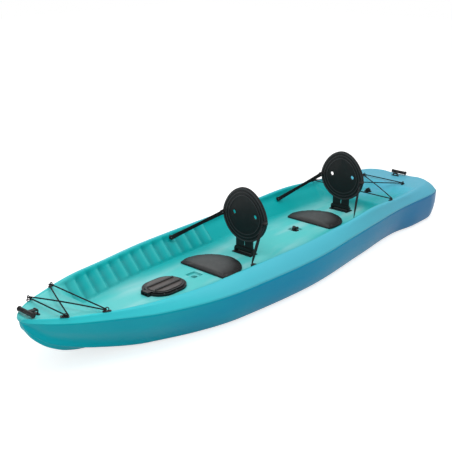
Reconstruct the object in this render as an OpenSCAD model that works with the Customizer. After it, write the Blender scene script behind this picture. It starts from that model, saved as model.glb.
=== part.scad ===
// Tandem sit-on-top kayak. Millimetres, +X to the bow, +Y to port, +Z up.
// The origin lies under the middle of the boat, on the surface that it rests on.

/* [Hull] */
// Length from stern to bow
hull_len = 3350; // [3000:10:3700]
// Greatest width, at the crease where the two sheets meet
beam = 900; // [820:5:980]
// Height of the gunwale ridge amidships
gunwale_h = 260; // [240:1:290]
// Height of the deck at the bow
bow_h = 296; // [280:1:330]
// Height of the deck at the stern
stern_h = 240; // [225:1:265]
// Height of the crease amidships
crease_h = 193; // [180:1:205]
// Inset of the ridge from the crease amidships
band_w = 90; // [75:1:100]
// Wall of the two formed sheets
wall = 4; // [3.5:0.5:6]
// Depth of the tunnels beside the keel
tunnel_d = 12; // [6:1:18]
// Half width of the flat keel strip
keel_w = 60; // [45:1:75]
// Height of the bilge above the flat bottom
bilge_h = 30; // [22:1:40]

/* [Cockpit] */
// Height of the cockpit floor
floor_h = 140; // [125:1:150]
// Height of the rear cockpit's floor
rear_floor_h = 155; // [145:1:165]
// Forward end of that floor
rear_floor_front = -70; // [-100:5:-60]
// Run of the slope from there down to the front floor
floor_slope = 130; // [110:5:140]
// Height of the stern well's floor
well_h = 205; // [190:1:212]
// Forward end of the stern well's step
well_front = -960; // [-1000:5:-945]
// Run of that step
well_step = 70; // [50:5:90]
// Aft end of the stern well
well_aft = -1300; // [-1320:5:-1285]
// Run of the ramp from there up to the aft deck
well_ramp = 90; // [70:5:100]
// Forward end of the level floor
floor_front = 1190; // [1180:5:1220]
// Run of the ramp up to the bow deck
bow_ramp = 150; // [120:5:180]
// Run of the sloping side walls
side_run = 108; // [95:1:118]
// Number of foot-brace steps on each side wall
rib_count = 13; // [9:1:13]
// Distance from step to step
rib_pitch = 88; // [80:1:88]
// Height of a step
rib_d = 13; // [6:1:18]
// Place of the aftmost step
rib_x0 = 110; // [90:5:130]

/* [Seats] */
// Place of the front seat back's hinge
seat_x = 115; // [95:1:135]
// Distance from the front hinge to the rear hinge
seat_pitch = 1000; // [960:5:1020]
// Width of a seat back
back_w = 332; // [310:1:370]
// Height of a seat back above its hinge
back_h = 385; // [350:1:420]
// Thickness of a seat back's plate
back_t = 13; // [10:0.5:16]
// Width of a seat back's neck
neck_w = 124; // [110:1:160]
// Diameter of the two holes in a seat back
back_hole_d = 27; // [18:1:32]
// Height of a hinge above the floor
hinge_h = 20; // [18:1:26]
// Diameter of a hinge pin
pin_d = 8; // [6:0.5:10]
// Width of a seat pad's straight front edge
pad_w = 344; // [320:1:360]
// Depth of a seat pad
pad_depth = 262; // [230:1:270]
// Height of a seat pad's side
pad_t = 18; // [14:1:20]
// Distance from a hinge to the rear of its pad
pad_gap = 112; // [100:1:130]
// Width of a strap
strap_w = 26; // [20:1:32]
// Thickness of a strap
strap_t = 3; // [2:0.5:4]
// Distance from a hinge forward to its strap anchors
strap_reach = 302; // [280:1:320]
// Height of a strap's upper end above the hinge
strap_rise = 205; // [190:1:220]

/* [Hatch] */
// Place of the hatch along the boat
hatch_x = 775; // [760:1:790]
// Length of the hatch lid
hatch_l = 256; // [230:1:270]
// Width of the hatch lid
hatch_w = 196; // [180:1:206]
// Thickness of the lid's plate
lid_t = 6; // [5:0.5:8]
// Height of the rim above the floor
rim_h = 12; // [9:1:15]

/* [Scuppers and drain] */
// Place of the front scupper
scupper_front_x = 545; // [540:1:580]
// Place of the rear scupper
scupper_rear_x = -375; // [-420:1:-360]
// Bore of a scupper
scupper_d = 38; // [32:1:42]
// Side of the square sump round a scupper
sump_w = 70; // [62:1:80]
// Depth of that sump
sump_d = 14; // [8:1:18]
// Place of the drain plug in the stern well
drain_x = -1222; // [-1250:1:-1190]
// Diameter of the drain plug's knob
drain_d = 36; // [30:1:44]

/* [Bungees and handles] */
// Diameter of the bungee cord
cord_d = 5; // [4:0.5:6]
// Distance of the front bow pad eyes from the bow
bow_eye_front_in = 147; // [130:1:175]
// Distance of the rear bow pad eyes from the bow
bow_eye_rear_in = 330; // [275:1:345]
// Place of the front stern pad eyes, as a distance aft
stern_eye_front_x = 985; // [970:1:1040]
// Distance of the rear stern pad eyes from the stern
stern_eye_rear_in = 255; // [225:1:270]
// Distance of the rear stern pad eyes from the middle
stern_eye_rear_y = 160; // [130:1:180]
// Distance of the bow handle's anchor from the bow
bow_handle_in = 87; // [75:1:100]
// Distance of the stern handle's anchor from the stern
stern_handle_in = 87; // [75:1:105]
// Length of a handle's grip
grip_l = 112; // [90:1:130]
// Diameter of a handle's grip
grip_d = 22; // [18:1:26]

/* [Clearances] */
// Running clearance of a pin in its bore, on the radius
pin_play = 0.05; // [0.02:0.01:0.1]
// Gap between pieces that move past each other
gap = 0.5; // [0.3:0.1:1]

/* [Hidden] */
$fn = 32;
half_len = hull_len / 2;
half_beam = beam / 2;
bow_eye_front_x = half_len - bow_eye_front_in;
bow_eye_rear_x = half_len - bow_eye_rear_in;
stern_eye_rear_x = half_len - stern_eye_rear_in;
bow_handle_x = half_len - bow_handle_in;
stern_handle_x = half_len - stern_handle_in;
black = [0.11, 0.11, 0.12];
steel = [0.75, 0.76, 0.78];

// Fair curves through hand-set stations: x from -1 at the stern to 1 at the bow
function seg(t, x, i = 0) = (i >= len(t) - 2 || x < t[i + 1][0]) ? i : seg(t, x, i + 1);
function rise(t, i) = (t[i + 1][1] - t[i][1]) / (t[i + 1][0] - t[i][0]);
function lean(t, i) = i == 0 ? rise(t, 0) : i == len(t) - 1 ? rise(t, i - 1)
    : let (a = rise(t, i - 1), b = rise(t, i)) a * b <= 0 ? 0 : 2 * a * b / (a + b);
function fair(t, x) = let (i = seg(t, x), h = t[i + 1][0] - t[i][0], u = (x - t[i][0]) / h)
    t[i][1] * (1 + 2 * u) * pow(1 - u, 2) + h * lean(t, i) * u * pow(1 - u, 2)
    + t[i + 1][1] * u * u * (3 - 2 * u) + h * lean(t, i + 1) * u * u * (u - 1);

// Lines of the boat, as shares of the half beam or of the named heights
CREASE = [[-1, 0.38], [-0.985, 0.62], [-0.955, 0.735], [-0.88, 0.785], [-0.7, 0.79], [-0.35, 0.89],
    [0.05, 1], [0.35, 0.965], [0.65, 0.755], [0.85, 0.46], [0.93, 0.3], [0.98, 0.15], [1, 0.07]];
CHINE = [[-1, 0.34], [-0.985, 0.58], [-0.955, 0.7], [-0.88, 0.765], [-0.78, 0.77], [-0.64, 0.715],
    [-0.35, 0.82], [0.02, 0.94], [0.35, 0.86], [0.65, 0.52], [0.8, 0.3], [0.9, 0.15], [1, 0.04]];
INSET = [[-1, 1], [-0.88, 0.85], [-0.78, 0.6], [-0.68, 0.48], [-0.58, 0.5], [-0.42, 0.58], [-0.28, 0.67],
    [-0.14, 0.89], [0, 0.99], [0.15, 1.02], [0.36, 0.97], [0.5, 0.83], [0.65, 0.59], [0.79, 0.36],
    [0.85, 0.3], [1, 0.1]];
// Rise of the ridge over its height amidships, and of the crease over its own
RIDGE = [[-0.64, 2], [-0.43, 22], [-0.22, 8], [0, 0], [0.3, 0], [0.5, -4], [0.65, 3], [0.8, 14]];
SHEER = [[-1, -2], [-0.5, 4.5], [0, 0], [0.36, 5], [0.5, 9], [0.65, 23], [0.79, 46], [0.85, 55]];
bow_drop = 19.5;
BILGE = [[-1, 3.8], [-0.96, 1.7], [-0.9, 1], [0.5, 1], [0.65, 1.3], [0.8, 2.7], [0.92, 5], [1, 8.95]];
KEEL = [[-1, 0.4], [-0.985, 0.24], [-0.955, 0.1], [-0.9, 0], [0.6, 0], [0.77, 0.07], [0.83, 0.11],
    [0.87, 0.17], [0.9, 0.25], [0.935, 0.38], [0.967, 0.56], [0.99, 0.76], [1, 0.87]];
function crease_y(x) = half_beam * fair(CREASE, x / half_len);
function chine_y(x) = half_beam * fair(CHINE, x / half_len);
function ridge_y(x) = crease_y(x) - band_w * fair(INSET, x / half_len);
function raised(t, z) = [for (p = t) [p[0], p[1] + z]];
ridge_line = concat([[-1, stern_h]], raised(RIDGE, gunwale_h), [[1, bow_h]]);
crease_line = concat(raised(SHEER, crease_h), [[1, bow_h - bow_drop]]);
function ridge_z(x) = fair(ridge_line, x / half_len);
function crease_z(x) = fair(crease_line, x / half_len);
function keel_z(x) = bow_h * fair(KEEL, x / half_len);
function chine_z(x) = bilge_h * fair(BILGE, x / half_len);
function floor_z(x) = fair([[-half_len, stern_h - 4],
    [well_aft - well_ramp, ridge_z(well_aft - well_ramp) - 5],
    [well_aft, well_h], [well_front - well_step, well_h], [well_front, rear_floor_h],
    [rear_floor_front, rear_floor_h], [rear_floor_front + floor_slope, floor_h], [floor_front, floor_h],
    [floor_front + bow_ramp, ridge_z(floor_front + bow_ramp) - 22],
    [bow_handle_x - 60, ridge_z(bow_handle_x - 60) - 8], [half_len, bow_h - 2]], x);
function wall_run(x) = min(side_run, 0.4 * ridge_y(x));
// Level of the floor under a fitting
function floor_at(x) = x < rear_floor_front ? rear_floor_h : floor_h;

// Step of the foot braces: each face looks aft and tapers away towards the bow
rib_edge = 3;
rib_end = rib_x0 + rib_count * rib_pitch;
function rib(x) = x < rib_x0 || x > rib_end ? 0
    : rib_d * max(0, 1 - (x - rib_x0 - rib_pitch * floor((x - rib_x0) / rib_pitch)) / (rib_pitch - rib_edge));

// Stations, close together where the ends turn round and at each step of the foot braces
stations = concat(
    [for (t = [0, 0.022, 0.08, 0.18, 0.32, 0.5, 0.7, 0.88])
        -half_len + t * (half_len + well_aft - well_ramp)],
    [for (i = [0 : 2]) well_aft - well_ramp * (1 - i / 2)],
    [for (i = [1, 2]) well_aft + (well_front - well_step - well_aft) * i / 3],
    [for (i = [0 : 2]) well_front - well_step * (1 - i / 2)],
    [for (i = [1 : 7]) well_front + (rear_floor_front - well_front) * i / 7],
    [rear_floor_front + floor_slope, rib_x0 - rib_edge],
    [for (k = [0 : rib_count - 1], e = [0, rib_pitch - rib_edge]) rib_x0 + k * rib_pitch + e],
    [for (t = [0.06, 0.16, 0.27, 0.38, 0.49, 0.6, 0.7, 0.79, 0.87, 0.93, 0.975, 1])
        rib_end + t * (half_len - rib_end)]);

// Half width of the gunwale's rounded crest
crest_w = 18;
// Half sections, from the crease to the middle on the deck and from the middle to the crease below
function deck_half(x, d) = let (yc = crease_y(x), zc = crease_z(x), yr = ridge_y(x), zr = ridge_z(x),
        zf = floor_z(x), run = wall_run(x), h = zr - zf, e = min(crest_w, 0.12 * run), b = 0.07 * (yc - yr)) [
    [yc, zc],
    [(yc + yr) / 2 + b, (zc + zr) / 2 + b],
    [yr + e, zr - 0.25 * e],
    [yr, zr],
    [yr - e - 0.2 * d, zr - min(5, 0.3 * h)],
    [yr - 0.18 * run - 0.64 * d, zr - 0.24 * h + 0.77 * d],
    [yr - 0.5 * run - 0.64 * d, zr - 0.56 * h + 0.77 * d],
    [yr - 0.84 * run - 0.5 * d, zf + 0.12 * h + 0.6 * d],
    [yr - run, zf],
    [0.5 * (yr - run), zf],
    [0, zf]];
function hull_half(x) = let (yb = chine_y(x), zb = chine_z(x), zk = keel_z(x), yc = crease_y(x),
        zc = crease_z(x), yk = min(keel_w, 0.3 * yb), zr = max(zk, zb - bilge_h)) [
    [0, zk],
    [yk, zk],
    [yk + 0.3 * (yb - yk), 0.5 * (zk + zr) + min(tunnel_d, 0.05 * yb)],
    [yk + 0.52 * (yb - yk), zr + 0.02 * (zb - zr)],
    [0.87 * yb, zr + 0.02 * (zb - zr)],
    [0.96 * yb, zr + 0.35 * (zb - zr)],
    [yb, zb],
    [(yb + yc) / 2 + 0.02 * yc, (zb + zc) / 2],
    [yc, zc]];

// Inward offset of a section by the wall, keeping the row at the crease level
function unit(v) = v / max(norm(v), 1e-6);
function shifted(p) = [for (i = [0 : len(p) - 1])
    let (a = p[max(i - 1, 0)], b = p[min(i + 1, len(p) - 1)],
        t = unit(p[i][0] == 0 ? [b[0] - a[0], 0] : b - a))
    p[i] + wall * [-t[1], t[0]]];
function seam(p, i, q) = [for (k = [0 : len(p) - 1]) k == i ? q : p[k]];
function both(h) = concat([for (p = h) [-p[0], p[1]]], [for (i = [len(h) - 2 : -1 : 0]) h[i]]);
function inner_x(x) = x * (1 - 2 * wall / hull_len);
function place(x, p) = [for (q = p) [x, q[0], q[1]]];
function seam_in(x) = [crease_y(x) - min(1.4 * wall, 0.4 * crease_y(x)), crease_z(x)];
function flip(p) = [for (i = [len(p) - 1 : -1 : 0]) p[i]];
deck_top = [for (x = stations) place(x, flip(both(deck_half(x, rib(x)))))];
deck_under = [for (x = stations)
    place(inner_x(x), flip(both(seam(shifted(deck_half(x, 0)), 0, seam_in(x)))))];
hull_out = [for (x = stations) place(x, both(flip(hull_half(x))))];
hull_in = [for (x = stations)
    place(inner_x(x), both(flip(seam(shifted(hull_half(x)), 8, seam_in(x)))))];

// Closed sheet between two grids of points that share a seam along their first and last columns
module sheet(outer, inner) {
    n = len(outer);
    m = len(outer[0]);
    base = n * m;
    function o(i, j) = i * m + j;
    function q(i, j) = base + i * m + j;
    polyhedron([for (r = outer, p = r) p, for (r = inner, p = r) p], concat(
        [for (i = [0 : n - 2], j = [0 : m - 2], f = [[o(i, j), o(i + 1, j), o(i + 1, j + 1)],
            [o(i, j), o(i + 1, j + 1), o(i, j + 1)]]) f],
        [for (i = [0 : n - 2], j = [0 : m - 2], f = [[q(i, j), q(i + 1, j + 1), q(i + 1, j)],
            [q(i, j), q(i, j + 1), q(i + 1, j + 1)]]) f],
        [[for (j = [0 : m - 1]) o(0, j)], [for (j = [m - 1 : -1 : 0]) o(n - 1, j)]],
        [[for (j = [m - 1 : -1 : 0]) q(0, j)], [for (j = [0 : m - 1]) q(n - 1, j)]],
        [for (i = [0 : n - 2], f = [[o(i, 0), q(i, 0), q(i + 1, 0)], [o(i, 0), q(i + 1, 0), o(i + 1, 0)],
            [o(i, m - 1), o(i + 1, m - 1), q(i + 1, m - 1)], [o(i, m - 1), q(i + 1, m - 1), q(i, m - 1)]]) f],
        [[o(0, 0), o(0, m - 1), q(0, m - 1), q(0, 0)],
            [o(n - 1, m - 1), o(n - 1, 0), q(n - 1, 0), q(n - 1, m - 1)]]));
}

// Turns local axes so that +X runs along a and +Z lies as near to up as it can
module along(at, a, up = [0, 0, 1]) {
    ex = unit(a);
    ey = unit(cross(up, ex));
    ez = cross(ex, ey);
    multmatrix([[ex[0], ey[0], ez[0], at[0]], [ex[1], ey[1], ez[1], at[1]], [ex[2], ey[2], ez[2], at[2]]])
        children();
}

// Plate with round ends, along X
module oblong(l, w, h) {
    for (s = [-1, 1]) translate([s * (l - w) / 2, 0, 0]) cylinder(d = w, h = h);
    translate([-(l - w) / 2, -w / 2, 0]) cube([l - w, w, h]);
}

// Pan-head screw whose head rests on z = 0
screw_d = 4;
screw_l = 11;
head_d = 8;
head_h = 2.6;
module screw(l = screw_l) {
    translate([0, 0, -l]) cylinder(d = screw_d, h = l + 0.5);
    intersection() {
        cylinder(d = head_d, h = head_h);
        translate([0, 0, head_h - head_d]) sphere(d = 2 * head_d);
    }
}

// Scuppers: a moulded tube between the sheets, with a square sump at its top and a flange at its foot
scuppers = [scupper_front_x, scupper_rear_x];
function sump_floor(x) = floor_at(x) - sump_d;
tube_d = scupper_d + 2 * wall;
flange_d = scupper_d + 40;
module square_block(w, z, h) {
    translate([-w / 2, -w / 2, z]) cube([w, w, h]);
}
module scupper_tube(x) {
    z = sump_floor(x);
    color([0.12, 0.5, 0.62]) translate([x, 0, 0]) difference() {
        union() {
            square_block(sump_w + 2 * wall, z - wall, sump_d - foot_gap);
            cylinder(d = tube_d, h = z - wall / 2);
            cylinder(d = flange_d, h = wall);
        }
        square_block(sump_w, z, sump_d + wall);
        translate([0, 0, -wall]) cylinder(d = scupper_d, h = z + 2 * wall);
    }
}

// Surface of the deck as it is built, straight from station to station
function bay(x, i = 0) = (i >= len(stations) - 2 || x < stations[i + 1]) ? i : bay(x, i + 1);
function deck_z(x, y) = let (i = bay(x), u = (x - stations[i]) / (stations[i + 1] - stations[i]),
        a = deck_half(stations[i], 0), b = deck_half(stations[i + 1], 0))
    lookup(abs(y), [for (k = [len(a) - 1 : -1 : 0]) a[k] * (1 - u) + b[k] * u]);
function deck_at(p) = [p[0], p[1], deck_z(p[0], p[1])];
probe = 12;
function deck_normal(p) = unit(cross(deck_at(p + [probe, 0]) - deck_at(p - [probe, 0]),
    deck_at(p + [0, probe]) - deck_at(p - [0, probe])));

// Fittings lie flat on the deck, just clear of the highest point under their base
foot_gap = 0.3;
function tangent(p, turn) = let (n = deck_normal(p), d = [cos(turn), sin(turn), 0]) unit(d - (d * n) * n);
function foot(p, turn, l, w) = let (n = deck_normal(p), c = deck_at(p), d = [cos(turn), sin(turn)],
        e = [-d[1], d[0]])
    c + n * (foot_gap + max([for (a = [-1 : 0.25 : 1], b = [-1, 0, 1])
        (deck_at(p + a * l / 2 * d + b * w / 2 * e) - c) * n]));

// Pad eyes stand on the crest of the gunwale, or on the aft deck, in lacing order
eye_l = 44;
eye_w = 14;
eye_t = 3.5;
function on_crest(x, side) = [x, side * ridge_y(x)];
bow_eyes = [on_crest(bow_eye_front_x, -1), on_crest(bow_eye_rear_x, 1), on_crest(bow_eye_rear_x, -1),
    on_crest(bow_eye_front_x, 1)];
stern_eyes = [[-stern_eye_rear_x, -stern_eye_rear_y], on_crest(-stern_eye_front_x, 1),
    on_crest(-stern_eye_front_x, -1), [-stern_eye_rear_x, stern_eye_rear_y]];
handle_spots = [[bow_handle_x, 0], [-stern_handle_x, 0]];
anchor_w = 58;
anchor_l = 16;

// Strap ends: the wall anchors and the ears on the seat backs
seats = [seat_x, seat_x - seat_pitch];
function hinge_z(s) = floor_at(s) + hinge_h;
strap_end_d = strap_w + 4;
stand_off = 11;
ear_out = 15.5;
ear_in = 12;
function upper_share(x) = x < rear_floor_front ? 0.5 : 0.8;
function wall_point(x) = let (h = deck_half(x, x > rib_x0 && x < rib_end ? rib_d : 0), k = upper_share(x),
        p = k * h[5] + (1 - k) * h[6])
    [x, p[0], p[1]];
function anchor(s, side) = let (w = wall_point(s + strap_reach))
    [w[0], side * (w[1] - stand_off), w[2] + stand_off];
function ear(s, side) = [s + back_t / 2 + ear_out, side * (back_w / 2 - ear_in), hinge_z(s) + strap_rise];
function strap_dir(s, side) = unit(anchor(s, side) - ear(s, side));
function strap_up(s, side) = unit([0.604, -side * 0.777, 0.184]);
module strap_frame(s, side, far) {
    along(far ? anchor(s, side) : ear(s, side), strap_dir(s, side), strap_up(s, side)) children();
}

module deck() {
    color([0.25, 0.75, 0.78]) difference() {
        sheet(deck_top, deck_under);
        for (x = scuppers) translate([x, 0, 0]) square_block(sump_w, sump_floor(x), sump_d + wall);
        translate([hatch_x, 0, floor_h - 3 * wall]) oblong(hatch_hole_l, hatch_hole_w, 6 * wall);
        translate([drain_x, 0, well_h - 3 * wall]) cylinder(d = bush_d, h = 6 * wall);
    }
}

module hull_sheet() {
    color([0.12, 0.5, 0.62]) difference() {
        sheet(hull_out, hull_in);
        for (x = scuppers) translate([x, 0, -wall]) cylinder(d = flange_d + 2 * foot_gap, h = 3 * wall);
    }
}

// Hatch: a rim set in the floor, a gasket in its top and a lid hinged at its forward end
rim_w = 22;
hatch_hole_l = hatch_l - 2 * rim_w + 8;
hatch_hole_w = hatch_w - 2 * rim_w + 8;
rim_in_l = hatch_hole_l - 2 * 4;
rim_in_w = hatch_hole_w - 2 * 4;
gasket_w = 6;
gasket_t = 4;
gasket_l = rim_in_l + 4 * gasket_w;
gasket_wid = rim_in_w + 4 * gasket_w;
rim_top = floor_h + rim_h;
lid_z = rim_top + 1;
lid_pin_d = 5;
lid_pin_x = hatch_x + hatch_l / 2 + 8;
lid_pin_z = lid_z + lid_t / 2;
knuckle_w = 40;
lug_t = 8;
lid_crown = 9;
module hatch_rim() {
    color(black) difference() {
        union() {
            translate([hatch_x, 0, floor_h]) oblong(hatch_l, hatch_w, rim_h);
            translate([hatch_x, 0, floor_h - wall - 6])
                oblong(hatch_hole_l - gap, hatch_hole_w - gap, wall + 6.5);
            for (s = [-1, 1]) translate([0, s * (knuckle_w / 2 + gap + lug_t / 2), 0]) {
                translate([lid_pin_x, lug_t / 2, lid_pin_z]) rotate([90, 0, 0]) cylinder(d = 15, h = lug_t);
                translate([lid_pin_x - 7.5, -lug_t / 2, floor_h]) cube([15, lug_t, lid_pin_z - floor_h]);
            }
            translate([lid_pin_x - 30, -knuckle_w / 2 - lug_t - gap, floor_h])
                cube([37.5, knuckle_w + 2 * lug_t + 2 * gap, 6]);
        }
        translate([hatch_x, 0, floor_h - 40]) oblong(rim_in_l, rim_in_w, 80);
        translate([hatch_x, 0, rim_top - gasket_t + 1]) oblong(gasket_l, gasket_wid, gasket_t + 20);
        translate([lid_pin_x, 60, lid_pin_z]) rotate([90, 0, 0])
            cylinder(d = lid_pin_d + 2 * pin_play, h = 120);
        for (p = rim_screw_spots) translate([p[0], p[1], floor_h - 20]) cylinder(d = screw_d + 0.4, h = 60);
    }
}
rim_screw_r = hatch_w / 2 - 4.5;
rim_screw_spots = [for (a = [60, 90, 120, 240, 270, 300])
    [hatch_x + (abs(sin(a)) > 0.99 ? 0 : sign(cos(a)) * ((hatch_l - hatch_w) / 2)) + rim_screw_r * cos(a),
        rim_screw_r * sin(a)]];
module hatch_gasket() {
    color([0.2, 0.2, 0.2]) translate([hatch_x, 0, rim_top - gasket_t + 1]) difference() {
        oblong(gasket_l - gap, gasket_wid - gap, gasket_t - 0.4);
        translate([0, 0, -1]) oblong(rim_in_l + 2, rim_in_w + 2, gasket_t + 2);
    }
}
module hatch_lid() {
    lid_l = hatch_l - 24;
    lid_w = hatch_w - 24;
    color(black) difference() {
        union() {
            translate([hatch_x, 0, lid_z]) oblong(lid_l, lid_w, lid_t);
            translate([hatch_x, 0, lid_z]) oblong(lid_l - 26, lid_w - 26, lid_t + 3);
            for (y = [-lid_w / 6, lid_w / 6]) translate([hatch_x, y, lid_z + lid_t])
                oblong(lid_l * 0.82, 12, lid_crown);
            translate([lid_pin_x, knuckle_w / 2, lid_pin_z]) rotate([90, 0, 0])
                cylinder(d = 13, h = knuckle_w);
            translate([hatch_x + lid_l / 2 - 16, -knuckle_w / 2, lid_z])
                cube([lid_pin_x - hatch_x - lid_l / 2 + 16, knuckle_w, lid_t]);
        }
        translate([lid_pin_x, 60, lid_pin_z]) rotate([90, 0, 0])
            cylinder(d = lid_pin_d + 2 * pin_play, h = 120);
    }
}
module hatch_hinge_pin() {
    l = knuckle_w + 2 * lug_t + 2 * gap + 2;
    color(steel) translate([lid_pin_x, l / 2, lid_pin_z]) rotate([90, 0, 0]) cylinder(d = lid_pin_d, h = l);
}
module hatch_rim_screws() {
    color(steel) for (p = rim_screw_spots) translate([p[0], p[1], rim_top]) screw(rim_h + 9);
}

// Seat pad: a D with a straight front edge, drawn in below, with a piped rim and a crowned top
pad_r = (pow(pad_depth, 2) + pow(pad_w / 2, 2)) / (2 * pad_depth);
pad_half_angle = asin(pad_w / 2 / pad_r);
pad_sides = 40;
pad_front_points = 8;
pad_outline = concat(
    [for (i = [0 : pad_sides]) let (a = pad_half_angle + (360 - 2 * pad_half_angle) * i / pad_sides)
        [pad_r * cos(a), pad_r * sin(a)]],
    [for (i = [1 : pad_front_points - 1])
        [pad_r * cos(pad_half_angle), pad_w * (i / pad_front_points - 0.5)]]);
// Share of the outline and share of the side height of each ring, from the bottom to the crown
PAD_RINGS = [[0.95, 0], [0.985, 0.2], [1, 0.5], [0.985, 0.78], [0.955, 0.88], [0.93, 0.84], [0.905, 0.82],
    [0.87, 0.94], [0.72, 1.03], [0.45, 1.1], [0.2, 1.13]];
module seat_pad(s) {
    m = len(pad_outline);
    n = len(PAD_RINGS);
    color([0.17, 0.17, 0.18]) translate([s + pad_gap + pad_r, 0, floor_at(s)])
        polyhedron(
        concat([for (r = PAD_RINGS, p = pad_outline) [p[0] * r[0], p[1] * r[0], pad_t * r[1]]],
            [[0, 0, 0], [0, 0, pad_t * 1.14]]),
        concat(
            [for (i = [0 : n - 2], j = [0 : m - 1], f = [
                [i * m + j, (i + 1) * m + (j + 1) % m, i * m + (j + 1) % m],
                [i * m + j, (i + 1) * m + j, (i + 1) * m + (j + 1) % m]]) f],
            [for (j = [0 : m - 1]) [n * m, j, (j + 1) % m]],
            [for (j = [0 : m - 1]) [n * m + 1, (n - 1) * m + (j + 1) % m, (n - 1) * m + j]]));
}

// Seat back: a round-topped plate on a neck, with a beaded rim, two holes, a slot and a hinge knuckle
head_z = back_h * 0.565;
head_low = head_z * 0.75;
// Share by which the head narrows towards its top
head_taper = 0.16;
neck_angle = acos(neck_w / back_w);
function head(k, from, to, steps) = [for (i = [0 : steps]) let (a = from + (to - from) * i / steps,
        high = sin(a) < 0 ? head_low * k : back_h - head_z - (1 - k) * back_w / 2)
    [k * back_w / 2 * cos(a) * (1 - head_taper * max(0, sin(a))), head_z + high * sin(a)]];
back_outline = concat([[neck_w / 2, 0]], head(1, -neck_angle, 180 + neck_angle, 56), [[-neck_w / 2, 0]]);
bead_h = 2.5;
knuckle_d = 22;
hinge_side = 1;
module bead(k1, k2) {
    linear_extrude(bead_h + 1) difference() {
        polygon(head(k1, 0, 354, 59));
        polygon(head(k2, 0, 354, 59));
    }
}
ear_boss_l = 20;
block_h = 18;
slot_z = 40;
module seat_back(s) {
    z = hinge_z(s);
    color(black) difference() {
        union() {
            translate([s - back_t / 2, 0, z]) rotate([90, 0, 90]) {
                linear_extrude(back_t) polygon(back_outline);
                translate([0, 0, back_t - 1]) {
                    bead(0.985, 0.93);
                    bead(0.85, 0.82);
                    bead(0.73, 0.7);
                }
            }
            translate([s, neck_w / 2, z]) rotate([90, 0, 0]) cylinder(d = knuckle_d, h = neck_w);
            translate([s - knuckle_d / 2 - 1, -neck_w / 2, z]) cube([knuckle_d + 2, neck_w, block_h]);
            for (side = [-1, 1]) {
                strap_frame(s, side, false) translate([0, 0, -strap_t / 2 - foot_gap - ear_boss_l])
                    cylinder(d = strap_w, h = ear_boss_l);
                translate([s, side * (back_w / 2 - ear_in + 4), z + strap_rise]) rotate([0, 90, 0])
                    cylinder(d = strap_end_d, h = back_t / 2 + bead_h);
            }
        }
        for (y = [-1, 1]) translate([s - 30, y * back_w * 0.24, head_z + z + 4]) rotate([0, 90, 0])
            cylinder(d = back_hole_d, h = 60);
        translate([s - 30, 0, z + slot_z]) rotate([0, 90, 0]) oblong(34, 13, 60);
        translate([s, neck_w, z]) rotate([90, 0, 0])
            cylinder(d = pin_d + 2 * pin_play, h = 2 * neck_w);
    }
}
bracket_t = 5;
bracket_l = 64;
bracket_lug = 9;
module seat_bracket(s) {
    w = neck_w + 2 * (hinge_side + bracket_lug);
    color(black) difference() {
        union() {
            translate([s - bracket_l / 2, -w / 2, floor_at(s)]) cube([bracket_l, w, bracket_t]);
            for (side = [-1, 1]) translate([s, side * (w / 2 - bracket_lug / 2) + bracket_lug / 2, 0]) {
                translate([0, 0, hinge_z(s)]) rotate([90, 0, 0]) cylinder(d = 24, h = bracket_lug);
                translate([-12, -bracket_lug, floor_at(s)]) cube([24, bracket_lug, hinge_h]);
            }
        }
        translate([s, w, hinge_z(s)]) rotate([90, 0, 0]) cylinder(d = pin_d + 2 * pin_play, h = 2 * w);
        translate([s, neck_w / 2 + hinge_side, hinge_z(s)]) rotate([90, 0, 0])
            cylinder(d = knuckle_d + 2 * gap, h = neck_w + 2 * hinge_side);
        for (p = bracket_screw_spots(s)) translate([p[0], p[1], floor_at(s) - 1])
            cylinder(d = screw_d + 0.4, h = 20);
    }
}
function bracket_screw_spots(s) = [for (a = [-1, 1], b = [-1, 1]) [s + a * (bracket_l / 2 - 8), b * 60]];
module seat_pin(s) {
    l = neck_w + 2 * (hinge_side + bracket_lug) + 1;
    color(steel) translate([s, l / 2, hinge_z(s)]) rotate([90, 0, 0]) {
        cylinder(d = pin_d, h = l);
        for (z = [-3, l]) translate([0, 0, z]) cylinder(d = pin_d + 5, h = 3);
    }
}
module seat_bracket_screws() {
    color(steel) for (s = seats, p = bracket_screw_spots(s))
        translate([p[0], p[1], floor_at(s) + bracket_t]) screw();
}

// Posts set in the side walls, each under the lower end of a strap
post_d = strap_w - 2;
post_l = 32;
module strap_posts() {
    color(black) for (s = seats, side = [-1, 1]) strap_frame(s, side, true)
        translate([0, 0, -strap_t / 2 - foot_gap - post_l]) cylinder(d = post_d, h = post_l);
}

// Straps: flat webbing with round ends, drawn tight between an ear and its wall anchor
module strap(s, side) {
    l = norm(anchor(s, side) - ear(s, side));
    color(black) strap_frame(s, side, false) difference() {
        translate([l / 2, 0, -strap_t / 2]) oblong(l + strap_w, strap_w, strap_t);
        for (x = [0, l]) translate([x, 0, -strap_t]) cylinder(d = screw_d + 0.4, h = 2 * strap_t);
    }
}
module strap_screws(list, far) {
    color(steel) for (s = list, side = [-1, 1]) strap_frame(s, side, far)
        translate([0, 0, strap_t / 2 + foot_gap]) screw(strap_t + 9);
}

// Pad eye: an oblong base and an upright loop, one leg of which carries the cord
eye_r = 9;
eye_bar = 5;
eye_leg = 7.5;
eye_screw_x = eye_l / 2 - 5;
module pad_eye() {
    difference() {
        union() {
            oblong(eye_l, eye_w, eye_t);
            for (x = [-eye_r, eye_r]) translate([x, 0, 0]) cylinder(d = eye_bar, h = eye_t + eye_leg);
            translate([0, 0, eye_t + eye_leg]) rotate([90, 0, 0])
                rotate_extrude(angle = 180) translate([eye_r, 0]) circle(d = eye_bar);
        }
        for (x = [-1, 1]) translate([x * eye_screw_x, 0, -1]) cylinder(d = screw_d + 0.4, h = eye_t + 2);
    }
}
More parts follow.
